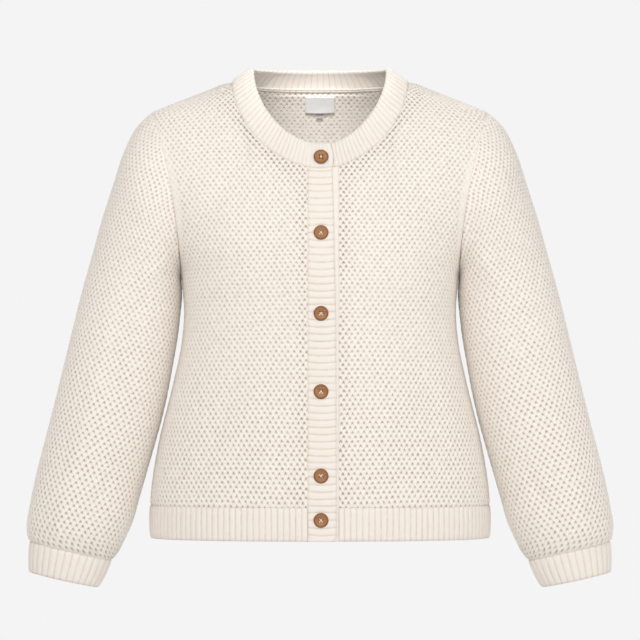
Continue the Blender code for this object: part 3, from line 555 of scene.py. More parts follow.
def yarn_material(name, group, sizes, colours, relief):
    """Ecru cotton, with painted shade darkening the holes or grooves; the colour stays even on
    plain strips.
    """
    material, tree, shader = new_material(
        name, Roughness=0.92, Specular_IOR_Level=0.15, Sheen_Weight=0.25, Sheen_Roughness=0.6
    )
    look = add(tree, "ShaderNodeGroup", node_tree=group)
    for label, value in sizes.items():
        look.inputs[label].default_value = value
    plain = add(tree, "ShaderNodeAttribute", attribute_name="plain").outputs["Fac"]
    # Painted shade: the low parts of the pattern, the holes and grooves, turn towards the second,
    # darker colour; a faint random mottle tints the rest.
    strength = calculate(tree, "MULTIPLY_ADD", look.outputs["Mottle"], *SHADE_VARIES)
    strength = calculate(tree, "MULTIPLY", strength, calculate(tree, "SUBTRACT", 1.0, plain))
    low = calculate(tree, "MULTIPLY", look.outputs["Low"], strength)
    deep = calculate(tree, "MULTIPLY_ADD", look.outputs["Mottle"], SHADE_ALL_OVER[0], low)
    colour = mix_colour(tree, clamped(tree, deep, 1.0, SHADE_ALL_OVER[1]), *colours)
    tree.links.new(colour, shader.inputs["Base Color"])
    height = calculate(tree, "MULTIPLY", look.outputs["Plies"], PLY_RELIEF)
    height = calculate(tree, "MULTIPLY_ADD", low, -relief, height)
    roughen(tree, shader, height, 1.0)
    return material


knit_cotton = yarn_material("Knit cotton", stitch_yarn, STITCH, (YARN, YARN_SHADE), HOLE_RELIEF)
rib_cotton = yarn_material("Rib cotton", rib_yarn, RIBS, (RIB_YARN_PAINTED_SHADE, RIB_GROOVE_PAINTED_SHADE), GROOVE_RELIEF)
CLOTHS = {
    "ecru_knit": (stitch_relief, STITCH, STITCH_RELIEF, knit_cotton),
    "ecru_rib": (rib_relief, RIBS, RIB_RELIEF, rib_cotton),
}


def stand_for(piece, node):
    """Hang a piece from the root and hide the CAD part that it replaces."""
    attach(piece, "root")
    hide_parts(node)


def finish_cloth(piece, node, slot, height=1.0):
    """Raise the stitches or ribs on a piece, and hide the CAD part that it replaces."""
    tree, sizes, relief, yarn = CLOTHS[slot]
    knit(piece, tree, {**sizes, "Relief": relief * height, "Yarn": yarn})
    stand_for(piece, node)


# --- Back and fronts ----------------------------------------------------------------------------
# Three panels of the raised stitch, sewn at the shoulders and sides.  Beside the armhole and the
# side seam runs a smooth strip, where the stitches are decreased.
PANELS = (("front_left", "front"), ("front_right", "front"), ("back", "back"))
SEAM_X = {"front_left": 0.0225, "front_right": 0.0145, "back": 0.0}
ROW_STEP = {"front": 0.00115, "back": 0.0016}
HALF_COLUMNS = {"front": 176, "back": 120}
PANEL_SKIP = 4
PLAIN_STRIP = 0.0110
SEAM_LAP = 0.0007
TUCK = 0.0005
NECK_PULL = 0.018
BAND_PULL = 0.010
KINK_REACH = 0.018
STRIP_ABOVE_TIP = 0.03
STRIP_FADE = 0.12
STRIP_EDGE = 0.004
STRIP_NARROWEST = 0.4
STRIP_PLAIN = 0.8
LEAST_PLAIN = 0.12
BAND_PULL_SHARE = 0.8
PULLED_OPEN = 0.75
HANGS_OPEN = 0.28
HANG_FROM = -0.30
HANG_OVER = 0.15
PANEL_RELIEF = 1.05
RELIEF_LIMITS = (0.2, 1.35)
GAUGE = (0.88, 0.26)


def whole(count, unit=2):
    """The nearest count that splits into whole units."""
    return max(2, int(round(count / unit))) * unit


def panel_rows(step):
    """Heights of a panel's rows along its outer edge and inside it, from hem rib to neck point."""
    spans = ((RIB_TOP, UNDERARM[1]), (UNDERARM[1], TIP[1]), (TIP[1], NECK_POINT[1]))
    counts = [whole((top - low) / step, PANEL_SKIP) for low, top in spans]
    runs = [np.linspace(*span, count + 1)[1:] for span, count in zip(spans, counts)]
    inside = np.concatenate([[RIB_TOP], *runs])
    half_turn = np.linspace(math.pi, 0.0, counts[1] + 1)[1:]
    runs[1] = (TIP[1] + UNDERARM[1]) / 2 + np.cos(half_turn) * (TIP[1] - UNDERARM[1]) / 2
    return np.concatenate([[RIB_TOP], *runs]), inside


def front_lift(x):
    """How far the wearer's right side stands in front of the form, at x."""
    share = np.clip((x + 0.060) / 0.044, 0.0, 1.0)
    return LAYER * share**2 * (3 - 2 * share)


def lapped(grid, normals, ring=False):
    """Carry a piece's border a little past its seam and under its neighbour."""
    longer = grid.copy()
    longer[0] += unit(grid[0] - grid[1]) * SEAM_LAP
    longer[-1] += unit(grid[-1] - grid[-2]) * SEAM_LAP
    if not ring:
        longer[:, 0] += unit(grid[:, 0] - grid[:, 1]) * SEAM_LAP
        longer[:, -1] += unit(grid[:, -1] - grid[:, -2]) * SEAM_LAP
    pull = 1 - border_fade(*grid.shape[:2], steps=2, ring=ring)
    return longer - normals * (TUCK * pull**2)[..., None]


def eased(grid, step):
    """Soften the form's kinks at the underarm and shoulder tip, but keep its outer edge."""
    reach = int(KINK_REACH / step)
    weights = np.hanning(2 * reach + 3)[1:-1]
    padding = ((reach, reach), (0, 0), (0, 0))
    padded = np.pad(grid[..., :2], padding, mode="reflect", reflect_type="odd")
    soft = sum(weight * padded[k : k + len(grid)] for k, weight in enumerate(weights))
    soft = soft / weights.sum()
    kept = np.linspace(0.0, 1.0, grid.shape[1])[None, :, None] ** COLUMN_BEND
    return np.concatenate([soft * (1 - kept) + grid[..., :2] * kept, grid[..., 2:]], axis=2)


def gauge(up):
    """The stitches grow longer down the cloth, where its own weight draws them."""
    return GAUGE[0] * up + GAUGE[1] * up**2


def hanging(grid):
    """0 on the upper garment and 1 near the hem, where the stitches hang more open."""
    return np.clip((HANG_FROM - grid[..., 2]) / HANG_OVER, 0.0, 1.0)


def panel_grid(name, side, edge, columns, inside=None):
    """A whole front or back, or its hem rib, and how far each point lies from the middle."""
    grid, across = body_grid(side, SEAM_X[name], edge, columns, inside)
    if inside is not None:
        grid = eased(grid, ROW_STEP[side])
    mirrored = grid * np.array([-1.0, 1.0, 1.0])
    if name == "front_right":
        return mirrored, across
    if name == "back":
        grid = np.concatenate([mirrored[:, :0:-1], grid], axis=1)
        across = np.concatenate([-across[:, :0:-1], across], axis=1)
    return grid, across


for name, side in PANELS:
    edge, inside = panel_rows(ROW_STEP[side])
    grid, across = panel_grid(name, side, edge, HALF_COLUMNS[side], inside)
    from_edge = across[:, -1:] - np.abs(across)
    from_band = across - across[:, :1] if side == "front" else np.full(across.shape, np.inf)
    normals = grid_normals(grid)
    up = climb(grid, normals)
    if name == "front_right":
        grid = grid + normals * front_lift(grid[..., 0])[..., None]
    taper = np.clip((TIP[1] + STRIP_ABOVE_TIP - grid[..., 2]) / STRIP_FADE, 0.0, 1.0)
    wide = PLAIN_STRIP * (STRIP_NARROWEST + (1 - STRIP_NARROWEST) * taper)
    strip = STRIP_PLAIN * np.clip((wide - from_edge) / STRIP_EDGE + 0.5, 0.0, 1.0) * taper
    pulled = np.exp(-(((up[-1:] - up) / NECK_PULL) ** 2))
    pulled = np.maximum(pulled, BAND_PULL_SHARE * np.exp(-((from_band / BAND_PULL) ** 2)))
    # Near the neck, the front band and the hem the stitches stand more open: the relief is deeper
    # there, and the painted shade in the holes darker.
    opened = PULLED_OPEN * pulled + HANGS_OPEN * hanging(grid)
    plain = np.maximum(strip, LEAST_PLAIN) - opened * (1 - strip)
    relief = border_fade(*across.shape) * np.clip(PANEL_RELIEF - plain, *RELIEF_LIMITS)
    grid = lapped(drape(grid, normals), normals)
    across, up = wander(across, gauge(up))
    piece = shell(f"{name}_panel", grid, normals, KNIT, across, up, relief, plain, PANEL_SKIP)
    finish_cloth(piece, name, "ecru_knit")

# --- Hem ribs -----------------------------------------------------------------------------------
# A rib 40 mm deep under each panel.  Its ribs stand upright, it swells a little between the seam
# and the cast-off edge, and it ends at the side seams and the front bands.
HEM_SWELL = 0.0010
HEM_HALF_WIDTH = 0.29
BORDER_ROWS = 12
BORDER_STEP = 0.0011


def swell(rows, amount):
    """How far a border stands out across its width: a low arch with rounded edges."""
    share = np.linspace(0.0, 1.0, rows + 1)
    return amount * np.sqrt(np.maximum(np.sin(math.pi * share), 0.0)) - amount * 0.1


for name, side in PANELS:
    edge = np.linspace(HEM, RIB_TOP - 0.0003, BORDER_ROWS + 1)
    grid, across = panel_grid(name, side, edge, whole(HEM_HALF_WIDTH / BORDER_STEP))
    normals = grid_normals(grid)
    up = np.broadcast_to((edge - HEM)[:, None], across.shape)
    lift = front_lift(grid[..., 0]) if name == "front_right" else 0.0
    arch = swell(BORDER_ROWS, HEM_SWELL)[:, None]
    grid = drape(grid, normals) + normals * (lift + arch)[..., None]
    relief = border_fade(*across.shape, steps=1)
    piece = shell(f"hem_{name}", grid, normals, RIB, across, up, relief, skip=2)
    finish_cloth(piece, f"hem_rib_{name}", "ecru_rib")

# --- Sleeves and cuffs --------------------------------------------------------------------------
# Set-in sleeves in the same stitch, full down to the wrist, where they are drawn into a ribbed
# cuff and overhang it.  Each is closed by a seam along its inner side.
ARM_RING = "outer_x outer_z inner_x inner_z half_depth middle_y bow"
SLEEVE = table(
    ARM_RING,
    [
        (TIP[0], TIP[1], UNDERARM[0], UNDERARM[1], ARMHOLE_DEPTH, 0.0000, ARMHOLE_BOW),
        (0.2196, -0.0708, 0.1676, -0.2490, 0.0670, 0.0000, 0.0030),
        (0.2345, -0.1000, 0.1676, -0.2550, 0.0680, -0.0005, 0.0),
        (0.2470, -0.1380, 0.1668, -0.2635, 0.0660, -0.0010, 0.0),
        (0.2592, -0.1760, 0.1667, -0.2745, 0.0625, -0.0020, 0.0),
        (0.2720, -0.2220, 0.1680, -0.2900, 0.0585, -0.0035, 0.0),
        (0.2850, -0.2690, 0.1712, -0.3180, 0.0550, -0.0055, 0.0),
        (0.2995, -0.3280, 0.1775, -0.3560, 0.0525, -0.0080, 0.0),
        (0.3140, -0.3880, 0.1890, -0.4130, 0.0510, -0.0100, 0.0),
        (0.3260, -0.4360, 0.2025, -0.4620, 0.0505, -0.0120, 0.0),
        (0.3385, -0.4850, 0.2168, -0.5120, 0.0500, -0.0140, 0.0),
        (0.3465, -0.5240, 0.2275, -0.5480, 0.0490, -0.0150, 0.0),
        (0.3500, -0.5470, 0.2360, -0.5660, 0.0460, -0.0155, 0.0),
        (0.3490, -0.5590, 0.2425, -0.5785, 0.0410, -0.0160, 0.0),
        (0.3470, -0.5657, 0.2500, -0.5884, 0.0360, -0.0160, 0.0),
    ],
)
CUFF = table(
    ARM_RING,
    [
        (0.3470, -0.5657, 0.2500, -0.5884, 0.0360, -0.0160, 0.0),
        (0.3476, -0.5840, 0.2575, -0.6046, 0.0335, -0.0165, 0.0),
        (0.3478, -0.6026, 0.2660, -0.6208, 0.0310, -0.0170, 0.0),
    ],
)
SLEEVE_ROWS, SLEEVE_COLUMNS = 328, 240
CUFF_COLUMNS = 200
ARM_LINE = (0.258, -0.966)
SLEEVE_STRIP = 0.004
SLEEVE_STRIP_EDGE = 0.002
SLEEVE_OPEN = 0.2
CUFF_HALF_ROUND = 0.11


def tube_grid(rings, rows, columns):
    """Rings of the wearer's left sleeve; each starts and ends on its inner edge."""
    middle = [(r["outer_x"] + r["inner_x"], r["outer_z"] + r["inner_z"]) for r in rings]
    steps = np.linalg.norm(np.diff(np.array(middle) / 2, axis=0), axis=1)
    places = np.concatenate([[0.0], np.cumsum(steps)])
    at = np.linspace(0.0, places[-1], rows + 1)
    read = {key: smooth_read(places, rings[key], at)[:, None] for key in rings.dtype.names}
    turn = np.linspace(-math.pi, math.pi, columns + 1)[None, :]
    half_x = (read["outer_x"] - read["inner_x"]) / 2
    half_z = (read["outer_z"] - read["inner_z"]) / 2
    x = read["inner_x"] + half_x * (1 + np.cos(turn)) - read["bow"] * np.sin(turn) ** 2
    y = read["middle_y"] - read["half_depth"] * np.sin(turn)
    z = read["inner_z"] + half_z * (1 + np.cos(turn))
    return np.stack([x, y, z], axis=-1)


def away_from_axis(grid):
    """Outwards from the middle of each ring."""
    return grid - grid[:, :-1].mean(axis=1, keepdims=True)


def tube_pattern(grid):
    """Length round each ring from the outer line, and up each line from the lower end."""
    round_steps = np.linalg.norm(np.diff(grid, axis=1), axis=-1)
    across = np.pad(np.cumsum(round_steps, axis=1), ((0, 0), (1, 0)))
    across = across - across[:, grid.shape[1] // 2][:, None]
    up_steps = np.linalg.norm(np.diff(grid, axis=0), axis=-1)
    down = np.pad(np.cumsum(up_steps, axis=0), ((1, 0), (0, 0)))
    return across, down[-1:] - down


def arm_pattern(grid):
    """Where each point lies round the arm from the outer line, and up it along the arm's line."""
    down_arm = np.array([ARM_LINE[0], 0.0, ARM_LINE[1]])
    outwards = np.array([-ARM_LINE[1], 0.0, ARM_LINE[0]])
    middle = grid.shape[1] // 2
    along, out = grid @ down_arm, grid @ outwards
    outer = np.interp(along, along[:, middle], out[:, middle])
    inner = np.interp(along, along[:, 0], out[:, 0])
    quarter = grid[:, middle // 2, 1]
    centre = np.interp(along, along[:, middle // 2], grid[:, middle, 1])
    depth = np.interp(along, along[:, middle // 2], np.abs(quarter - grid[:, middle, 1]))
    half = (outer - inner) / 2
    turn = np.arctan2(np.abs(grid[..., 1] - centre) / depth, (out - (outer + inner) / 2) / half)
    facing = np.sign(np.arange(grid.shape[1]) - middle)
    return facing * turn * np.sqrt((half**2 + depth**2) / 2), along.max() - along


for side, mirror in (("left", 1.0), ("right", -1.0)):
    turned = np.array([mirror, 1.0, 1.0])
    grid = tube_grid(SLEEVE, SLEEVE_ROWS, SLEEVE_COLUMNS)
    across, up = tube_pattern(grid)
    round_arm, up_arm = arm_pattern(grid)
    grid = grid * turned
    normals = grid_normals(grid, away_from_axis, ring=True)
    grid = lapped(drape(grid, normals), normals, ring=True)
    grid[:, -1] = grid[:, 0]
    from_seam = across[:, -1:] - np.abs(across)
    plain = np.clip((SLEEVE_STRIP - from_seam) / SLEEVE_STRIP_EDGE, 0.0, 1.0)
    # Lower down the sleeve the stitches hang more open: the relief is deeper there, and the painted
    # shade in the holes darker.
    plain = plain - SLEEVE_OPEN * hanging(grid) * (1 - plain)
    relief = border_fade(*across.shape, ring=True) * (1 - plain)
    across, up = wander(round_arm, gauge(up_arm))
    piece = shell(
        f"sleeve_{side}_tube", grid, normals, KNIT, across, up, relief, plain, PANEL_SKIP, ring=True
    )
    finish_cloth(piece, f"sleeve_{side}", "ecru_knit")

    grid = tube_grid(CUFF, BORDER_ROWS, CUFF_COLUMNS)
    across, up = tube_pattern(grid)
    half_round = np.round(CUFF_HALF_ROUND / RIB_WIDTH) * RIB_WIDTH
    across = across / across.max(axis=1, keepdims=True) * half_round
    grid = grid * turned
    normals = grid_normals(grid, away_from_axis, ring=True)
    grid = grid + normals * swell(BORDER_ROWS, HEM_SWELL)[:, None, None]
    relief = border_fade(*across.shape, steps=1, ring=True)
    piece = shell(f"cuff_{side}_rib", grid, normals, RIB, across, up, relief, skip=2, ring=True)
    finish_cloth(piece, f"cuff_{side}", "ecru_rib")

# --- Neckband -----------------------------------------------------------------------------------
# One ribbed strip sewn round the neckline, from the buttonhole end over the wearer's right front,
# round the back of the neck and down to the button end.  Its ribs point to the neck.
BAND_EDGE = (0.0798, 0.0010)
BAND_EDGE_MIDDLE = {"front": (-0.0800, -0.0930), "back": (0.0525, 0.0010)}
BAND_EDGE_CURVE = 0.62
BAND_SWELL = 0.0022
OVER_END, UNDER_END = 0.0145, -0.0130
OVER_END_SWELL = 0.0028
FRONT_CROWD = 0.55
FRONT_REACH = 0.085
OVER_END_REACH = 0.012
RIB_LEAN = 0.0012
RIB_LEAN_TURN = 9.0
FRONT_FAINT = 0.6
FAINT_NARROWING = 1.8


def neck_seam(side, x):
    """The neckline's seam over x, on the body's form."""
    heights = neck_height(side, x)
    points, _ = body_points(side, heights, np.zeros(len(x)), x)
    points[:, 0] = x
    return points


def free_edge(seam, side):
    """The neckband's free edge, opposite each point of its seam."""
    power = NECK_ROUND[side]
    drop = NECK_POINT[1] - NECK_BOTTOM[side]
    wide = np.clip(np.abs(seam[:, 0]) / NECK_POINT[0], 0.0, 1.0) ** (power / 2)
    deep = np.clip((NECK_POINT[1] - seam[:, 2]) / drop, 0.0, 1.0) ** (power / 2)
    turn = np.arctan2(wide, deep)
    middle_y, middle_z = BAND_EDGE_MIDDLE[side]
    fall = np.maximum(np.cos(turn), 0.0)
    x = np.sign(seam[:, 0]) * BAND_EDGE[0] * np.sin(turn) ** (2 / power)
    z = BAND_EDGE[1] + (middle_z - BAND_EDGE[1]) * fall ** (2 / power)
    return np.stack([x, middle_y * fall**BAND_EDGE_CURVE, z], axis=1)


def neckband_lines():
    """The seam and the free edge all round, and which points lie on the right front and back."""
    quarter = np.linspace(0.0, math.pi / 2, NECK_STEPS // 2)
    runs = []
    for side, start, facing in (("front", OVER_END, -1), ("back", 0.0, 0), ("front", UNDER_END, 1)):
        x = NECK_POINT[0] * np.sin(quarter) ** (2 / NECK_ROUND[side])
        if side == "back":
            x = np.concatenate([-x[::-1][1:], x[1:-1]])
        else:
            lap = np.linspace(start, 0.0, 12, endpoint=False)
            x = np.concatenate([lap, facing * x])[::1 if facing < 0 else -1]
        seam = neck_seam(side, x)
        if side == "front":
            seam[np.abs(np.abs(x) - NECK_POINT[0]) < 1e-9, 1] = 0.0
        tag = np.full(len(x), facing)
        runs.append((seam, free_edge(seam, side), tag))
    return [np.concatenate(parts) for parts in zip(*runs)]


def evenly(lines, length, step):
    """Read lines again at even steps along their shared length."""
    at = np.linspace(0.0, length[-1], whole(length[-1] / step) + 1)
    read = [[np.interp(at, length, line[:, k]) for k in range(3)] for line in lines]
    return [np.stack(line, axis=1) for line in read], at


seam, edge, tag = neckband_lines()
middle = (seam + edge) / 2
length = np.concatenate([[0.0], np.cumsum(np.linalg.norm(np.diff(middle, axis=0), axis=1))])
right_end = length[np.nonzero(tag < 0)[0][-1]]
(seam, edge), along = evenly((seam, edge), length, BORDER_STEP)
shares = np.linspace(0.0, 1.0, BORDER_ROWS + 1)[:, None]
grid = seam[None] * (1 - shares)[..., None] + edge[None] * shares[..., None]
normals = grid_normals(grid)
across = np.broadcast_to(along, grid.shape[:2])
up = shares * np.linalg.norm(edge - seam, axis=1)[None, :]
lift = front_lift(grid[..., 0]) * (along < right_end)
arch = swell(BORDER_ROWS, BAND_SWELL)[:, None]
grid = drape(grid, normals) + normals * (lift + arch)[..., None]
end = np.clip(1 - along / OVER_END_REACH, 0.0, 1.0) ** 2
grid[..., 0] += OVER_END_SWELL * end[None, :] * np.sin(math.pi * shares)
near_ends = [np.exp(-((far / FRONT_REACH) ** 2)) for far in (along, along[-1] - along)]
closer = 1 + FRONT_CROWD * sum(near_ends)
ribs = np.concatenate([[0.0], np.cumsum(np.diff(along) * closer[1:])])
ribs = ribs + RIB_LEAN * np.sin(math.pi * shares) * np.sin(along * RIB_LEAN_TURN)
fainter = FRONT_FAINT * np.exp(-((along / FRONT_REACH * FAINT_NARROWING) ** 2))
fade = border_fade(*up.shape, steps=1) * (1 - fainter)
piece = shell("neckband_rib", grid, normals, RIB, ribs, up, fade, plain=fainter, skip=2)
finish_cloth(piece, "neckband", "ecru_rib")

# --- Front bands --------------------------------------------------------------------------------
# Two ribbed strips down the front, the buttonhole side over the button side.  Their ribs run
# across, sag between the edges and are pulled up a little over each button.
TOP_BAND_SEAM = -0.0145
TOP_BAND_EDGE = table(
    "height edge_x",
    [
        (HEM, 0.0192),
        (-0.4500, 0.0192),
        (-0.3000, 0.0185),
        (-0.2000, 0.0165),
        (-0.1225, 0.0145),
    ],
)
BUTTON_HEIGHTS = (-0.1096, -0.1987, -0.2929, -0.3854, -0.4850, -0.5368)
BAND_RIB_SCALE = 0.85
BAND_COLUMNS = 16
LOWER_CORNER = 0.007
UNDER_BAND_PLAIN = 0.85
BAND_BEND = 8
BAND_ARCH = 0.0014
RIB_SAG = 0.0016
BUTTON_LIFT = 0.0026
LIFT_ABOVE = 0.006
LIFT_REACH = 0.011


def band_grid(left_x, right_edge):
    """A front band from the hem to the neckline: rows up, columns from left to right."""
    rows = whole((NECK_BOTTOM["front"] - HEM) / BORDER_STEP)
    shares = np.linspace(0.0, 1.0, rows + 1)
    level = HEM + (NECK_BOTTOM["front"] - HEM) * shares
    columns = []
    for place in np.linspace(0.0, 1.0, BAND_COLUMNS + 1):
        x = left_x * (1 - place) + right_edge(level) * place
        heights = level + (neck_height("front", x) - NECK_BOTTOM["front"]) * shares**BAND_BEND
        points, _ = body_points("front", heights, np.zeros(len(x)), x)
        points[:, 0] = x
        columns.append(points)
    return np.stack(columns, axis=1)


def top_edge(level):
    """The buttonhole band's free edge, rounded off at its lower corner."""
    low = np.clip((HEM + LOWER_CORNER - level) / LOWER_CORNER, 0.0, 1.0)
    edge_x = np.interp(level, TOP_BAND_EDGE["height"], TOP_BAND_EDGE["edge_x"])
    return edge_x - LOWER_CORNER * 0.5 * low**2


def under_edge(level):
    """The button band's seam with the wearer's left front."""
    return np.full_like(level, SEAM_X["front_left"])


for name, left_x, right_edge, lift in (
    ("buttonhole_band", TOP_BAND_SEAM, top_edge, LAYER),
    ("button_band", UNDER_END, under_edge, 0.0),
):
    grid = band_grid(left_x, right_edge)
    normals = grid_normals(grid)
    along = climb(grid, normals)
    steps = np.linalg.norm(np.diff(grid, axis=1), axis=-1)
    across = np.pad(np.cumsum(steps, axis=1), ((0, 0), (1, 0)))
    place = np.linspace(-1.0, 1.0, BAND_COLUMNS + 1)[None, :]
    ribs = along + RIB_SAG * (1 - place**2)
    for height in BUTTON_HEIGHTS[1:]:
        above = (grid[..., 2] - height - LIFT_ABOVE) / LIFT_REACH
        ribs = ribs - BUTTON_LIFT * np.exp(-(above**2)) * (1 - np.abs(place))
    arch = swell(BAND_COLUMNS, BAND_ARCH)[None, :]
    grid = drape(grid, normals) + normals * (lift + arch)[..., None]
    plain = UNDER_BAND_PLAIN if name == "button_band" else 0.0
    relief = border_fade(*across.shape, steps=1) * (1 - plain)
    ribs = ribs * BAND_RIB_SCALE
    piece = shell(f"{name}_rib", grid, normals, RIB, ribs, across, relief, plain, skip=2)
    finish_cloth(piece, name, "ecru_rib")

# --- Back neck tape, label and size tab ---------------------------------------------------------
# Inside the back neck a narrow tape covers the neckband's seam.  Under it sit a woven label and a
# small size tab, both bare, on the inner face of the back.
TAPE_REACH = (0.03, 0.20)
LABEL_SIZE = (0.0358, 0.0200)
LABEL_TOP = -0.0285
TAB_SIZE = (0.0070, 0.0052)
TAB_X = -0.0005
SEAM = 0.0003
TAPE_THICKNESS, TAPE_GAP, TAPE_RIDGE = 0.0010, 0.0012, 0.0006
TAPE_SPAN = 0.93
PATCH_ROWS, PATCH_COLUMNS = 15, 25
PATCH_THICKNESS, PATCH_GAP, PATCH_CURL = 0.0008, 0.0011, 0.0012

back_x = NECK_POINT[0] * np.sin(np.linspace(-1.0, 1.0, 201) * math.pi / 2 * TAPE_SPAN)
seam = neck_seam("back", back_x)
edge = free_edge(seam, "back")
shares = np.linspace(*TAPE_REACH, 9)[:, None, None]
grid = seam[None] * (1 - shares) + edge[None] * shares
normals = grid_normals(grid)
along = np.concatenate([[0.0], np.cumsum(np.linalg.norm(np.diff(seam, axis=0), axis=1))])
across = np.broadcast_to(along, grid.shape[:2])
up = (shares[..., 0] - TAPE_REACH[0]) * np.linalg.norm(edge - seam, axis=1)[None, :]
ridges = TAPE_RIDGE * np.abs(np.sin(np.linspace(0.0, 2 * math.pi, 9)))
inside = grid - normals * (RIB + SEAM + TAPE_GAP + ridges[:, None, None])
tape = shell("back_neck_tape_rib", inside, -normals, TAPE_THICKNESS, across, up, 0.0, skip=2)
finish_cloth(tape, "back_neck_tape", "ecru_rib", height=0.0)


def satin_material(name, colour, thread):
    """A close satin weave: fine crossing threads that give a soft sheen."""
    material, tree, shader = new_material(name, Roughness=0.45, Sheen_Weight=0.2)
    place = add(tree, "ShaderNodeTexCoord").outputs["Object"]
    level, _, height = add(tree, "ShaderNodeSeparateXYZ", place).outputs
    warp, weft = [
        calculate(tree, "SINE", calculate(tree, "MULTIPLY", way, 2 * math.pi / thread))
        for way in (level, height)
    ]
    weave = calculate(tree, "MULTIPLY", warp, weft)
    ends = ((*colour, 1.0), (*[value * 0.86 for value in colour], 1.0))
    shade = mix_colour(tree, clamped(tree, weave, 0.5, 0.5), *ends)
    tree.links.new(shade, shader.inputs["Base Color"])
    roughen(tree, shader, weave, 0.0001)
    return material


def inside_patch(name, node, middle_x, size, top, material):
    """A small woven piece on the back's inner face, its upper edge sewn and its lower one free."""
    width, height = size
    shape = (PATCH_ROWS, PATCH_COLUMNS)
    x = np.broadcast_to(middle_x + np.linspace(-width / 2, width / 2, PATCH_COLUMNS), shape)
    levels = np.broadcast_to(np.linspace(top - height, top, PATCH_ROWS)[:, None], shape)
    points, _ = body_points("back", levels.ravel(), np.zeros(levels.size), x.ravel())
    grid = points.reshape(*shape, 3)
    grid[..., 0] = x
    normals = grid_normals(grid)
    curl = PATCH_CURL * np.linspace(1.0, 0.0, PATCH_ROWS)[:, None] ** 3
    curl = curl * (0.6 + 0.4 * np.cos(x * 160))
    grid = grid - normals * (KNIT + SEAM + PATCH_GAP + curl)[..., None]
    piece = shell(name, grid, -normals, PATCH_THICKNESS, x, levels, 0.0)
    piece.data.materials.append(material)
    stand_for(piece, node)
    return piece


white_satin = satin_material("White satin", (0.93, 0.925, 0.92), 0.0007)
grey_satin = satin_material("Grey satin", (0.50, 0.51, 0.54), 0.0006)
label = inside_patch(
    "neck_label_satin", "neck_label", 0.0, LABEL_SIZE, LABEL_TOP, white_satin
)
tab_top = LABEL_TOP - LABEL_SIZE[1] - SEAM
tab = inside_patch("size_tab_satin", "size_tab", TAB_X, TAB_SIZE, tab_top, grey_satin)

# --- Buttons ------------------------------------------------------------------------------------
# Six turned wooden buttons with a raised rim, each sewn on through four holes with white cotton
# thread that crosses in the middle.
WOOD = (0.385, 0.158, 0.040, 1.0)
WOOD_DARK = (0.26, 0.093, 0.019, 1.0)
WOOD_RIM = (0.17, 0.058, 0.014, 1.0)
# Painted shade: the near-black colour of the four holes.
HOLE_SHADE = (0.020, 0.009, 0.004, 1.0)
GRAIN_SCALE = (180.0, 180.0, 700.0)
HOLE_OFFSET = 0.0016
HOLE_RADIUS = 0.0012
HOLE_EDGE = 0.0004
RIM_START = 0.0058
RIM_FADE = 0.0024
THREAD_RADIUS = 0.00045
THREAD_RISE, THREAD_ROOT = 0.0013, 0.0008
THREAD_LEAN = 0.8
THREAD_STEPS, THREAD_SIDES = 12, 6
HOLE_REACH = 0.0015
FACE_HEIGHT = 0.0021
# Small discs inside the holes, which carry the painted shade.
SHADOW_DISC_HEIGHT, SHADOW_DISC_DEPTH, SHADOW_DISC_RADIUS = 0.0009, 0.0006, 0.00098


def distance(tree, one, two):
    """How far a place is from the middle, from its two coordinates."""
    total = calculate(tree, "MULTIPLY_ADD", one, one, calculate(tree, "MULTIPLY", two, two))
    return calculate(tree, "SQRT", total)


wood, tree, shader = new_material(
    "Button wood", Roughness=0.48, Coat_Weight=0.15, Coat_Roughness=0.35
)
stretch = tree.nodes.new("ShaderNodeMapping")
stretch.inputs["Scale"].default_value = GRAIN_SCALE
tree.links.new(add(tree, "ShaderNodeTexCoord").outputs["Object"], stretch.inputs["Vector"])
grain = add(tree, "ShaderNodeTexNoise", stretch.outputs[0])
grain.inputs["Scale"].default_value = 1.0
grain.inputs["Detail"].default_value = 5.0
colour = mix_colour(tree, clamped(tree, grain.outputs[0], 2.4, -0.5), WOOD_DARK, WOOD)
local = add(tree, "ShaderNodeAttribute", attribute_name="place").outputs["Vector"]
level, upright, _ = add(tree, "ShaderNodeSeparateXYZ", local).outputs
rim = clamped(tree, distance(tree, level, upright), 1 / RIM_FADE, -RIM_START / RIM_FADE)
colour = mix_colour(tree, rim, colour, WOOD_RIM)
sideways, above = [
    calculate(tree, "SUBTRACT", calculate(tree, "ABSOLUTE", way), HOLE_OFFSET)
    for way in (level, upright)
]
# Painted shade: the holes turn near black, as the shadow inside them.
hole = clamped(tree, distance(tree, sideways, above), -1 / HOLE_EDGE, HOLE_RADIUS / HOLE_EDGE)
tree.links.new(mix_colour(tree, hole, colour, HOLE_SHADE), shader.inputs["Base Color"])
roughen(tree, shader, grain.outputs[0], 0.0001)

thread, tree, shader = new_material("White thread", Roughness=0.8)
twist = add(tree, "ShaderNodeTexNoise", add(tree, "ShaderNodeTexCoord").outputs["Object"])
twist.inputs["Scale"].default_value = 3000.0
cotton = mix_colour(tree, twist.outputs[0], (0.95, 0.92, 0.86, 1.0), (0.82, 0.77, 0.68, 1.0))
tree.links.new(cotton, shader.inputs["Base Color"])


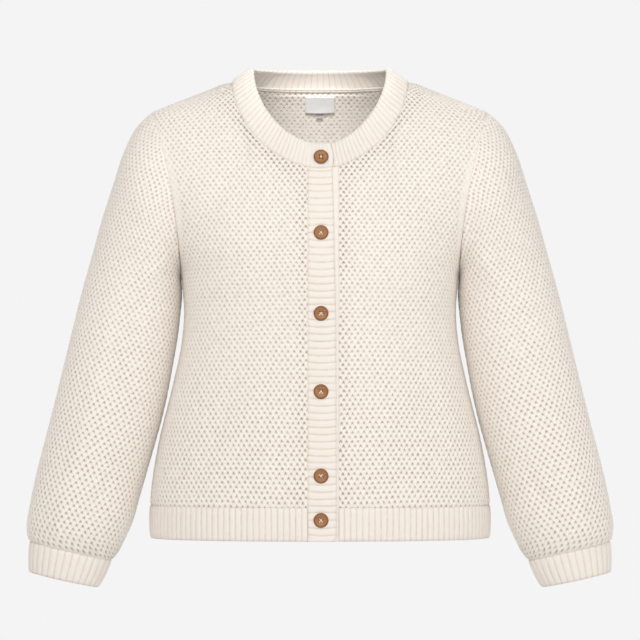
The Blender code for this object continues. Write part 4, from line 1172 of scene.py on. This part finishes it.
def thread_stitch(edit, start, finish, normal):
    """One strand of thread, arched from one hole to the opposite one."""
    ahead = (finish - start).normalized()
    sideways = ahead.cross(normal)
    rings = []
    for k in range(THREAD_STEPS + 1):
        share = k / THREAD_STEPS
        rise = THREAD_RISE * math.sin(math.pi * share) ** 0.6 - THREAD_ROOT
        centre = start.lerp(finish, share) + normal * rise
        up = (normal - ahead * math.cos(math.pi * share) * THREAD_LEAN).normalized()
        ring = []
        for j in range(THREAD_SIDES):
            turn = 2 * math.pi * j / THREAD_SIDES
            out = sideways * math.cos(turn) + up * math.sin(turn)
            ring.append(edit.verts.new(centre + out * THREAD_RADIUS))
        rings.append(ring)
    for one, two in zip(rings[:-1], rings[1:]):
        for j in range(THREAD_SIDES):
            following = (j + 1) % THREAD_SIDES
            edit.faces.new((one[j], one[following], two[following], two[j]))
    edit.faces.new(rings[0][::-1])
    edit.faces.new(rings[-1])


for number in range(1, 7):
    node = f"button_{number}"
    edit = bmesh.new()
    edit.from_mesh(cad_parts[node].data)
    bmesh.ops.remove_doubles(edit, verts=edit.verts, dist=0.00002)
    bmesh.ops.recalc_face_normals(edit, faces=edit.faces)
    points = np.array([tuple(vertex.co) for vertex in edit.verts])
    middle = Vector((points.min(0) + points.max(0)) / 2)
    _, _, axes = np.linalg.svd(points - points.mean(0), full_matrices=False)
    normal = Vector(axes[2])
    normal = -normal if normal.y > 0 else normal
    level = Vector((1.0, 0.0, 0.0))
    upright = normal.cross(level).normalized()
    low = min((vertex.co - middle).dot(normal) for vertex in edit.verts)
    turned = Matrix((level, upright, normal)).transposed().to_4x4()
    # A small dark disc low in each hole, coloured by the painted hole shade: a painted shadow where
    # the through-hole shows only shade.
    for across, up in ((-1, -1), (-1, 1), (1, -1), (1, 1)):
        spot = middle + (level * across + upright * up) * HOLE_OFFSET + normal * (low + SHADOW_DISC_HEIGHT)
        bmesh.ops.create_cone(
            edit,
            cap_ends=True,
            segments=8,
            radius1=SHADOW_DISC_RADIUS,
            radius2=SHADOW_DISC_RADIUS,
            depth=SHADOW_DISC_DEPTH,
            matrix=Matrix.Translation(spot) @ turned,
        )
    points = np.array([tuple(vertex.co) for vertex in edit.verts])
    mesh = bpy.data.meshes.new(f"{node}_wood")
    edit.to_mesh(mesh)
    edit.free()
    place = (points - np.array(middle)) @ np.array([level, upright, normal]).T
    stored = mesh.attributes.new("place", "FLOAT_VECTOR", "POINT")
    stored.data.foreach_set("vector", place.astype(np.float32).ravel())
    mesh.shade_smooth()
    mesh.set_sharp_from_angle(angle=math.radians(40))
    mesh.materials.clear()
    mesh.materials.append(wood)
    stand_for(placed(f"{node}_wood", mesh), node)

    face = middle + normal * (low + FACE_HEIGHT)
    edit = bmesh.new()
    for turn in (math.pi / 4, 3 * math.pi / 4):
        reach = (level * math.cos(turn) + upright * math.sin(turn)) * HOLE_REACH
        thread_stitch(edit, face - reach, face + reach, normal)
    bmesh.ops.recalc_face_normals(edit, faces=edit.faces)
    mesh = bpy.data.meshes.new(f"{node}_thread")
    edit.to_mesh(mesh)
    edit.free()
    mesh.shade_smooth()
    mesh.materials.append(thread)
    stitches = placed(f"{node}_thread", mesh)
    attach(stitches, "root")

# --- Floor, light and camera --------------------------------------------------------------------
# A pale floor well below the garment, a bright soft studio and a level camera straight in front.
FLOOR_LEVEL = -0.95
BACKDROP = 0.905

bpy.ops.mesh.primitive_plane_add(size=4.0, location=(0.0, 0.0, FLOOR_LEVEL))
floor = bpy.context.active_object
floor.name = "floor"
pale, _, _ = new_material("Pale floor", Base_Color=(0.86, 0.86, 0.86, 1.0), Roughness=0.9)
floor.data.materials.append(pale)

world = bpy.data.worlds.new("Studio")
bpy.context.scene.world = world
world.use_nodes = True
tree = world.node_tree
tree.nodes.clear()
glow = add(tree, "ShaderNodeBackground", (1.0, 0.99, 0.975, 1.0), 0.58)
seen = add(tree, "ShaderNodeBackground", (BACKDROP, BACKDROP, BACKDROP, 1.0), 1.0)
choose = add(tree, "ShaderNodeMixShader", add(tree, "ShaderNodeLightPath").outputs["Is Camera Ray"])
tree.links.new(glow.outputs[0], choose.inputs[1])
tree.links.new(seen.outputs[0], choose.inputs[2])
tree.links.new(choose.outputs[0], tree.nodes.new("ShaderNodeOutputWorld").inputs[0])


def aim(holder, place, target):
    """Stand a light at a place and turn it to its target."""
    holder.location = place
    holder.rotation_euler = (Vector(target) - Vector(place)).to_track_quat("-Z", "Y").to_euler()


def soft_light(name, place, size, power):
    """A square panel of light, aimed at the middle of the garment."""
    lamp = bpy.data.lights.new(name, "AREA")
    lamp.size = size
    lamp.energy = power
    aim(placed(name, lamp), place, (0.0, 0.0, -0.3))


soft_light("key", (-0.9, -1.9, 1.2), 1.2, 17.0)
soft_light("fill", (1.7, -1.8, 0.5), 1.6, 13.0)
soft_light("front", (0.1, -3.4, 0.7), 1.0, 20.0)
soft_light("behind", (0.6, 2.6, 1.8), 2.0, 26.0)

beam = bpy.data.lights.new("neck", "SPOT")
beam.energy = 175.0
beam.spot_size = math.radians(5.0)
beam.spot_blend = 0.9
beam.shadow_soft_size = 0.05
aim(placed("neck", beam), (0.0, -1.45, 1.45), (0.0, 0.09, -0.105))

camera = bpy.data.cameras.new("camera")
camera.sensor_width = 36.0
camera.lens = 281.0
eye = placed("camera", camera)
eye.location = (0.0, -6.0, -0.301)
eye.rotation_euler = (math.pi / 2, 0.0, 0.0)
bpy.context.scene.camera = eye
bpy.context.scene.view_settings.view_transform = "Standard"
